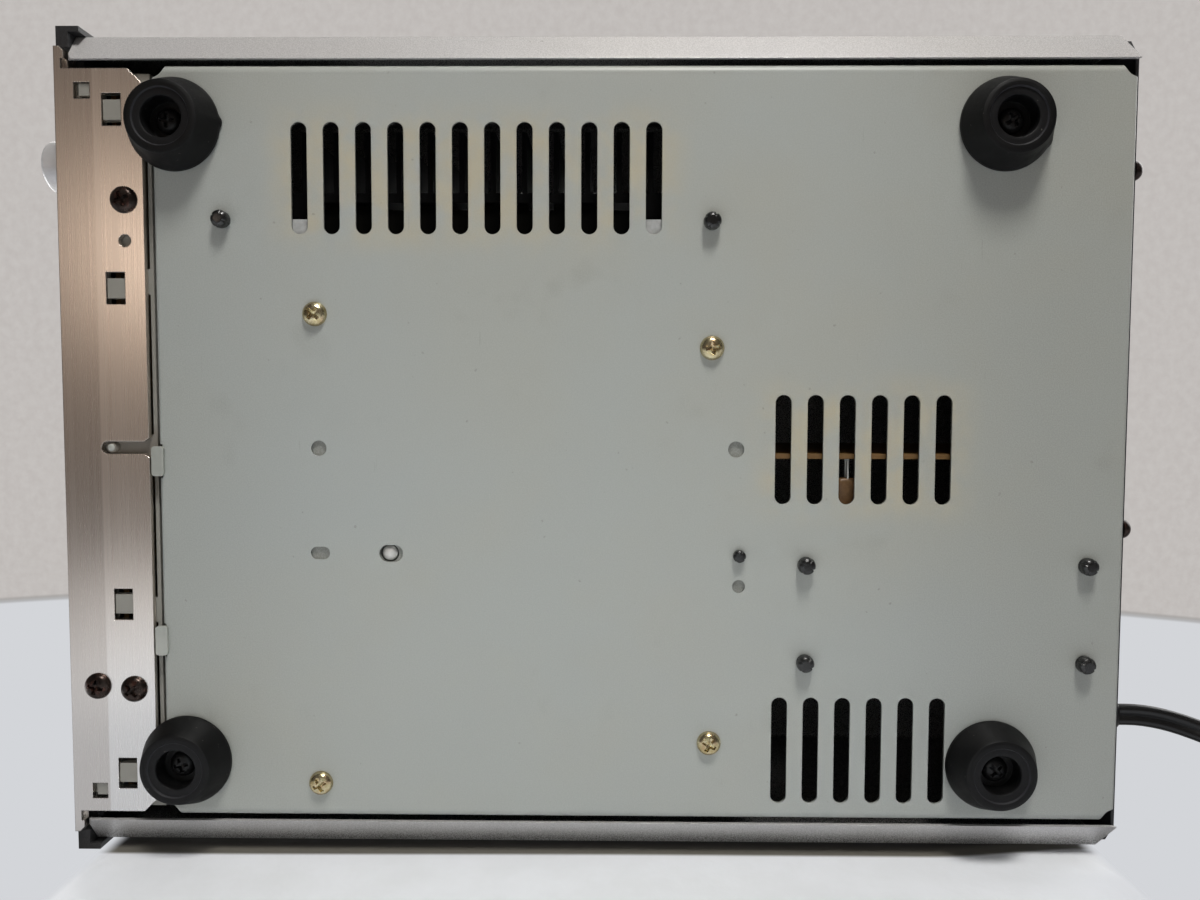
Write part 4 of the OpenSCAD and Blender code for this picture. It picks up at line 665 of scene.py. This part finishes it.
foot = {
    "profile": [(0, 0), (13.9, 0), (14.3, -0.5), (14.2, -1.6), (11.5, -8.4), (10.9, -9.75), (9.9, -10.0),
                (8.75, -10.0), (8.5, -9.4), (7.2, -9.4), (6.3, -9.3), (6.05, -8.6), (5.9, -3.42), (0, -3.40)],
    "gateDeg": {"foot_front_right": 87, "foot_rear_right": 113, "foot_front_left": 215,
                "foot_rear_left": 131},
    "gateWide": 0.11, "gateHigh": 0.062, "gateFade": 4.5 * mm, "segments": 160, "soft": 0.16 * mm,
}
for node, gateDeg in foot["gateDeg"].items():
    low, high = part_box(node)
    middle = ((low.x + high.x) / 2, (low.y + high.y) / 2, high.z)

    def gate(h, angles, at=math.radians(gateDeg)):
        # the radius swells in a narrow rib that fades towards the tip
        off = np.angle(np.exp(1j * (angles - at)))
        near = np.clip(1 + h / foot["gateFade"], 0, 1) ** 1.5
        return 1 + foot["gateHigh"] * np.exp(-np.abs(off / foot["gateWide"]) ** 2.6) * near * (h < 0)

    outline = softCorners(np.array(foot["profile"]) * mm, foot["soft"])
    outline = outline[np.r_[True, np.linalg.norm(np.diff(outline, axis=0), axis=1) > 1e-7]]
    addPiece(node.replace("foot", "rubber_foot"), [lathe(middle, (0, 0, 1), outline, foot["segments"], gate)],
             "foot_rubber", replaces=(node,))
print("feet made")


# screws: a domed head with a cross recess

screw = {  # lengths are shares of the head's radius, the depth of the recess one of its height
    "rings": 34, "segments": 128, "armLong": 0.56, "armHalf": 0.13, "heart": 0.25, "soft": 0.05, "deep": 0.80,
    "shank": 0.45, "turnStepDeg": 37,
}


def screwHead(centre, axis, radius, height, shank, length, turnDeg):
    # over the head, height = superellipse dome less the recess; below it the shank closes the shape
    u = np.linspace(0, 1, screw["rings"]) ** 0.9
    angles = np.arange(screw["segments"]) * 2 * np.pi / screw["segments"]
    u2, a2 = np.meshgrid(u, angles, indexing="ij")
    x, y = u2 * np.cos(a2 - math.radians(turnDeg)), u2 * np.sin(a2 - math.radians(turnDeg))

    def step(v):
        v = np.clip(v / screw["soft"] + 0.5, 0, 1)
        return v * v * (3 - 2 * v)

    armX = step(screw["armLong"] - np.abs(x)) * step(screw["armHalf"] - np.abs(y))
    armY = step(screw["armLong"] - np.abs(y)) * step(screw["armHalf"] - np.abs(x))
    heart = step(screw["heart"] - np.hypot(x, y))
    recess = np.maximum(np.maximum(armX, armY), heart) * (1 - 0.9 * np.hypot(x, y))
    dome = (1 - u2 ** 2.3) ** 0.5
    top = height * (dome - screw["deep"] * recess)
    r = np.concatenate([u2 * radius, np.full((1, len(angles)), shank), np.full((1, len(angles)), shank),
                        np.zeros((1, len(angles)))])
    h = np.concatenate([top, np.zeros((1, len(angles))), np.full((2, len(angles)), -length)])
    return turned(centre, axis, r, h, np.concatenate([a2, np.repeat(angles[None], 3, 0)])), False, True


screwSets = {  # node: slot, finish, head height, axis that the head points along, first turn of the recess
    "loader_screws": ("screw_yellow", "screw_yellow", 2.6 * mm, (0, 0, -1), 25),
    "panel_screws": ("screw_black", "screw_black", 2.4 * mm, (0, 0, -1), 38),
    "foot_screws": ("screw_black", "screw_dull", 2.4 * mm, (0, 0, -1), 12),
    "rear_screws": ("screw_black", "screw_black", 3.0 * mm, (0, 1, 0), 20),
}
for node, (slot, finish, height, axis, turnDeg) in screwSets.items():
    grids = []
    for i, (low, high) in enumerate(solidBoxes(node)):
        middle, reach = (low + high) / 2, high - low
        k = 2 if axis[2] else 1
        radius = reach[0] / 2
        seat = middle.copy()
        seat[k] = low[k] + height if axis[k] < 0 else high[k] - height
        grids.append(screwHead(seat, axis, radius, height, screw["shank"] * radius, reach[k] - height,
                               turnDeg + screw["turnStepDeg"] * i))
    addPiece(node.replace("screws", "screw_heads"), grids, slot, sharpDeg=45, replaces=(node,), finish=finish)
print("screws made")


# nylon supports: a split, ridged tip below the plate and a post above it

support = {
    "tip": [(0, -4.0), (1.5, -4.0), (2.3, -3.5), (2.75, -2.4), (2.8, -1.5), (2.62, -1.45), (2.7, -0.5),
            (2.4, -0.4), (2.4, 1.0), (4.0, 1.0)],
    "smallTip": [(0, -2.6), (1.3, -2.6), (1.95, -2.0), (1.95, -0.3), (1.7, -0.2), (1.7, 1.0), (4.5, 1.0)],
    "smallReach": 3.0, "pin": 1.65, "pinHigh": 3.5, "soft": 0.25 * mm, "segments": 96,
    "split": 0.16, "slitWide": 0.20, "ridge": 0.02, "ridgeTurn": 9.0,
}


def splitTip(h, angles):
    # four slits run up the tip, with faint rings across the petals
    slit = np.exp(-(np.sin(2 * (angles - 0.5)) / support["slitWide"]) ** 2)
    below = np.clip(-h / (0.8 * mm) - 0.4, 0, 1)
    rings = 1 + support["ridge"] * np.sin(h / mm * support["ridgeTurn"]) * below
    return (1 - support["split"] * slit * below) * rings


grids = []
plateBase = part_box("bottom_plate")[0].z
for low, high in solidBoxes("board_supports"):
    middle = ((low[0] + high[0]) / 2, (low[1] + high[1]) / 2, plateBase)
    tall = (high[2] - plateBase) / mm
    if low[2] > plateBase - support["smallReach"] * mm:
        tip = support["smallTip"]
        profile = tip + [(tip[-1][0], tall), (0, tall)]
    else:
        tip, pin, post = support["tip"], support["pin"], tall - support["pinHigh"]
        profile = tip + [(tip[-1][0], post), (pin, post), (pin, tall), (0, tall)]
    outline = softCorners(np.array(profile) * mm, support["soft"])
    grids.append(lathe(middle, (0, 0, 1), outline, support["segments"], splitTip))
addPiece("nylon_supports", grids, "nylon_black", replaces=("board_supports",))
print("supports made")


# film capacitor on the edge of the signal board, behind the vent slots

film = {"middle": (-14.4, 83.5, 16.4), "half": (5.2, 3.3, 2.4), "square": 0.35, "rows": 24, "segments": 48,
        "wire": 0.35, "wireAt": (-1.5, 1.5), "board": -3.0}


def roundedBox(middle, half, square, rows, segments):
    # superellipsoid: powers of the sines and cosines of a sphere
    v = np.linspace(-np.pi / 2, np.pi / 2, rows)[:, None]
    u = (np.arange(segments) * 2 * np.pi / segments)[None, :]
    ring = signedPower(np.cos(v), square)
    around = np.stack([ring * signedPower(np.cos(u), square), ring * signedPower(np.sin(u), square),
                       signedPower(np.sin(v), square) + 0 * u], -1)
    return (np.asarray(middle) + around * np.asarray(half)) * mm, False, True


finishes["film_tan"] = moulded("filmTan", {
    "dark": tint(94, 68, 40), "light": tint(114, 84, 52), "rough": 0.36, "dusty": 0.1, "grain": 700})
body = roundedBox(film["middle"], film["half"], film["square"], film["rows"], film["segments"])
wireFrom = film["middle"][0] + 0.9 * film["half"][0]
wireLong = film["board"] - wireFrom
wires = [lathe(np.array([wireFrom, film["middle"][1], film["middle"][2] + dz]) * mm, (1, 0, 0),
               np.array([(0, 0), (film["wire"], 0), (film["wire"], wireLong), (0, wireLong)]) * mm, 16)
         for dz in film["wireAt"]]
addPiece("film_capacitor", [body], "board_brown", finish="film_tan")
addPiece("film_wires", wires, "board_brown", finish="post_steel")
print("capacitor made")


# volume knob: turned, with a rounded rim, a shallow dished face and a pointer notch

knob = {
    "chamfer": 0.4 * mm, "rim": 1.0 * mm, "dish": 0.35 * mm, "land": 2.2 * mm, "bowl": 3.0 * mm,
    "groove": 0.25 * mm, "grooveAt": (0.22, 0.24, 0.27, 0.29), "soft": 0.5 * mm,
    "notch": 0.05, "notchWide": 0.10, "notchFrom": 0.62, "segments": 144,
}
low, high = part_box("volume_knob")
radius, length = (high.x - low.x) / 2, high.y - low.y
grooveRadii = (radius, radius - knob["groove"], radius - knob["groove"], radius)
knobProfile = np.array([
    (0, 0), (radius - knob["chamfer"], 0), (radius, knob["chamfer"]),
    *[(r, share * length) for r, share in zip(grooveRadii, knob["grooveAt"])],
    (radius, length - knob["rim"]), (radius - knob["rim"], length), (radius - knob["land"], length),
    (radius - knob["bowl"], length - knob["dish"]), (0, length - knob["dish"])])


def pointer(h, angles):
    off = np.angle(np.exp(1j * (angles - math.pi / 2)))
    return 1 - knob["notch"] * np.exp(-(off / knob["notchWide"]) ** 4) * (h > knob["notchFrom"] * length)


knobBack = ((low.x + high.x) / 2, high.y, (low.z + high.z) / 2)
knobGrid = lathe(knobBack, (0, -1, 0), softCorners(knobProfile, knob["soft"]), knob["segments"], pointer)
addPiece("volume_knob_cap", [knobGrid], "knob_silver", body="volume", replaces=("volume_knob",))
print("knob made")


# line jacks: moulded block, nickel barrel with a rolled lip, coloured ring round the hole

jack = {
    "bore": 1.65, "ring": 3.35, "barrel": 4.2, "neck": 4.05, "sunk": -1.0, "shoulder": (0.8, 0.9),
    "back": 1.2, "recess": 0.5, "chamfer": 0.25, "roll": 0.3, "lip": 0.1, "flare": 0.05, "segments": 72,
}
finishes["jack_nickel"] = plainMetal("jackNickel", {
    "dark": tint(186, 184, 178), "light": tint(222, 220, 214), "rough": 0.14, "cloud": 220})
finishes["jack_white"] = moulded("jackWhite", {
    "dark": tint(214, 212, 204), "light": tint(232, 230, 222), "rough": 0.34, "dusty": 0.1})
blocks, barrels, whites, reds = [], [], [], []
for i, (low, high) in enumerate(sorted(solidBoxes("line_jacks"), key=lambda b: b[0][2])):
    centre = ((low[0] + high[0]) / 2, rearFace, (low[2] + high[2]) / 2)
    reach = (high[1] - rearFace) / mm
    bore, ring, barrel, neck = jack["bore"], jack["ring"], jack["barrel"], jack["neck"]
    face = reach - jack["recess"]
    start = (ring, face - jack["lip"])
    shell = [start, (ring + jack["flare"], reach - jack["lip"]), (barrel - jack["chamfer"], reach),
             (barrel, reach - jack["roll"]), (barrel, jack["shoulder"][1]), (neck, jack["shoulder"][0]),
             (neck, jack["sunk"]), (ring, jack["sunk"]), start]
    insert = [(bore, jack["back"]), (bore, face - jack["chamfer"]), (bore + jack["chamfer"], face),
              (ring, face), (ring, jack["back"]), (bore, jack["back"])]
    barrels.append(lathe(centre, (0, 1, 0), np.array(shell) * mm, jack["segments"]))
    (whites if i % 2 else reds).append(lathe(centre, (0, 1, 0), np.array(insert) * mm, jack["segments"]))
    fromY, toY = low[1], rearFace + jack["sunk"] * mm
    loop = np.array([(low[0], low[2]), (high[0], low[2]), (high[0], high[2]), (low[0], high[2])])
    mid = np.repeat(loop.mean(0)[None], 4, 0)
    rows = [(mid, fromY), (loop, fromY), (loop, toY), (mid, toY)]
    blocks.append((np.stack([np.insert(xz, 1, y, axis=1) for xz, y in rows]), False, True))
addPiece("jack_blocks", blocks, "frame_black", replaces=("line_jacks",))
addPiece("jack_barrels", barrels, "frame_black", finish="jack_nickel")
addPiece("jack_rings_white", whites, "frame_black", finish="jack_white")
addPiece("jack_rings_red", reds, "frame_black", finish="lever_red")
print("jacks made")


# stage: a floor that shows from above, a backdrop that shows from below, soft lights

stage = {
    "floor": 6.0, "floorTint": tint(226, 226, 226),
    "backZ": 1.5, "backHalf": (1.5, 2.0), "wall": tint(189, 184, 181), "table": tint(211, 213, 217),
    "edgeShadow": tint(150, 148, 146), "horizonX": -0.345, "dip": 0.036, "lean": 0.013,
    "topX": -0.1312, "topReach": 0.42, "topHalf": 1.4, "underZ": 0.030, "underY": (-0.158, 0.168),
    "topTint": tint(246, 249, 255), "contact": tint(106, 103, 95), "contactZ": (0.0104, 0.0126),
    "touch": tint(46, 44, 38), "touchZ": (0.0150, 0.0195), "frontY": (0.03, -0.13), "frontRise": 0.0016,
    "rearY": (0.11, 0.165), "rearFall": 0.006, "asideY": (0.120, 0.190), "asideZ": (0.010, -0.004),
    "world": (0.09, 0.088, 0.086, 1), "room": (0.142, 0.120, 0.106, 1), "ceiling": (0.34, 0.335, 0.33, 1),
    "worldStrength": 1.0,
}


def stageSheet(name, corners, material):
    mesh = bpy.data.meshes.new(name)
    mesh.from_pydata(corners, [], [(0, 1, 2, 3)])
    mesh.materials.append(material)
    made = bpy.data.objects.new(name, mesh)
    bpy.context.scene.collection.objects.link(made)
    for ray in ("visible_shadow", "visible_diffuse", "visible_glossy", "visible_transmission"):
        setattr(made, ray, False)
    return made


def oneSided(material, socket):
    # clear from behind
    tree = material.node_tree
    clear = tree.nodes.new("ShaderNodeBsdfTransparent")
    behind = tree.nodes.new("ShaderNodeNewGeometry").outputs["Backfacing"]
    mixed = tree.nodes.new("ShaderNodeMixShader")
    tree.links.new(behind, mixed.inputs[0])
    tree.links.new(socket, mixed.inputs[1])
    tree.links.new(clear.outputs[0], mixed.inputs[2])
    tree.links.new(mixed.outputs[0], tree.nodes["Material Output"].inputs["Surface"])


floorLook = Finish("paleFloor", Roughness=0.8)
floorLook.feed("Base Color", floorLook.place.noise(2.0, 3).mix(stage["floorTint"], tint(220, 220, 221)))
oneSided(floorLook.material, floorLook.shader.outputs[0])
half = stage["floor"] / 2
floorCorners = [(-half, -half, 0), (half, -half, 0), (half, half, 0), (-half, half, 0)]
stageSheet("floor", floorCorners, floorLook.material)

backLook = Finish("backdrop")
p = backLook.place
away = p.along(1)
horizon = stage["horizonX"] - stage["dip"] * away * away - stage["lean"] * away
above = p.along(0) - horizon
plaster = p.noise(60, 4, 0.6)
wall = plaster.rise(0.2, 0.8).mix(stage["wall"], tint(197, 193, 190))
picture = above.rise(-0.004, 0.004).mix(stage["table"], wall)
# painted shadow along the table's edge
picture = (above.size().rise(0.008, 0.002) * 0.6).mix(picture, stage["edgeShadow"])
glow = backLook.place.node("ShaderNodeEmission", {}, {"Color": picture, "Strength": 1.0})
oneSided(backLook.material, glow.socket)
(backX, backY), backZ = stage["backHalf"], stage["backZ"]
backCorners = [(-backX, -backY, backZ), (-backX, backY, backZ), (backX, backY, backZ), (backX, -backY, backZ)]
stageSheet("backdrop", backCorners, backLook.material)

# the table top that the unit's left side stands on: it shows from its upper side, below the floor's level
topLook = Finish("tableTop", Roughness=0.6)
p = topLook.place
cloth = p.noise(45, 4, 0.6).rise(0.3, 0.7).mix(stage["topTint"], tint(241, 244, 249))
depth = p.along(2) + p.along(1).rise(*stage["frontY"]) * stage["frontRise"]
depth = depth - p.along(1).rise(*stage["rearY"]) * stage["rearFall"]
cloth = depth.rise(*stage["contactZ"]).mix(cloth, stage["contact"])  # the shadow under the unit
# a darker painted shadow where the unit meets the table
topLook.feed("Base Color", depth.rise(*stage["touchZ"]).mix(cloth, stage["touch"]))
topLook.relief(p.noise(120, 3, 0.6), 0.0003, 0)
farTop = p.node("ShaderNodeEmission", {}, {"Color": stage["table"], "Strength": 1.0})
aside = p.along(1).size().rise(*stage["asideY"])  # further off it takes the backdrop's even tone
aside = aside * p.along(2).rise(*stage["asideZ"])
underMid, underHalf = sum(stage["underY"]) / 2, (stage["underY"][1] - stage["underY"][0]) / 2
aside = aside.math("MAXIMUM", aside, (p.along(1) - underMid).size().rise(underHalf - 0.006, underHalf))
blended = topLook.tree.nodes.new("ShaderNodeMixShader")
for i, socket in enumerate((aside.socket, topLook.shader.outputs[0], farTop.socket)):
    topLook.tree.links.new(socket, blended.inputs[i])
oneSided(topLook.material, blended.outputs[0])
topX, topHalf = stage["topX"], stage["topHalf"]
for name, low, high, fromY, toY in (("tableTop", -stage["topReach"], 0, -topHalf, topHalf),
                                    ("tableUnder", 0, stage["underZ"], *stage["underY"])):
    top = stageSheet(name, [(topX, fromY, low), (topX, toY, low), (topX, toY, high), (topX, fromY, high)],
                     topLook.material)
    for ray in ("visible_diffuse", "visible_glossy"):
        setattr(top, ray, True)

lights = {  # place, target, size, power, colour
    "key": ((1.00, 0.13, -0.45), (0, 0, 0.01), 0.26, 9.2, (1.0, 0.98, 0.94)),
    "cameraGlow": ((-0.06, -0.01, -0.21), (-0.06, -0.01, 0.01), 0.20, 0.072, (0.84, 0.96, 1.0)),
    "tableSheen": ((-0.140, -0.185, -0.14), (-0.08, -0.15, 0.0), 0.15, 0.028, (0.93, 0.97, 1.0)),
    "warmGlow": ((0.25, -0.75, -1.27), (0, -0.1, 0.01), 0.16, 0.45, (1.0, 0.82, 0.68)),
    "overhead": ((0.35, -0.35, 1.30), (0, 0, 0.05), 1.3, 26.0, (1.0, 0.99, 0.97)),
    "frontFill": ((-0.5, -1.3, 0.55), (0, 0, 0.05), 0.9, 10.0, (1.0, 1.0, 1.0)),
    "rearFill": ((0.6, 1.2, 0.6), (0, 0, 0.05), 0.9, 6.5, (1.0, 1.0, 1.0)),
}
for name, (place, target, size, power, colour) in lights.items():
    lamp = bpy.data.lights.new(name, "AREA")
    lamp.size, lamp.energy, lamp.color = size, power, colour
    lampObject = bpy.data.objects.new(name, lamp)
    lampObject.matrix_world = aimed(place, target, (0, 1, 0.01))
    lampObject.visible_camera = False
    bpy.context.scene.collection.objects.link(lampObject)

world = bpy.data.worlds.new("room")
world.use_nodes = True
bpy.context.scene.world = world
sky = Sock(world.node_tree.nodes.new("ShaderNodeTexCoord").outputs["Generated"])
below = sky.along(2).rise(-0.45, -0.85)
above = sky.along(2).rise(0.0, 0.25)
roomTint = above.mix(below.mix(stage["world"], stage["room"]), stage["ceiling"])
background = world.node_tree.nodes["Background"]
world.node_tree.links.new(roomTint.socket, background.inputs["Color"])
background.inputs["Strength"].default_value = stage["worldStrength"]
bpy.context.scene.view_settings.view_transform = "Standard"
print("stage set")
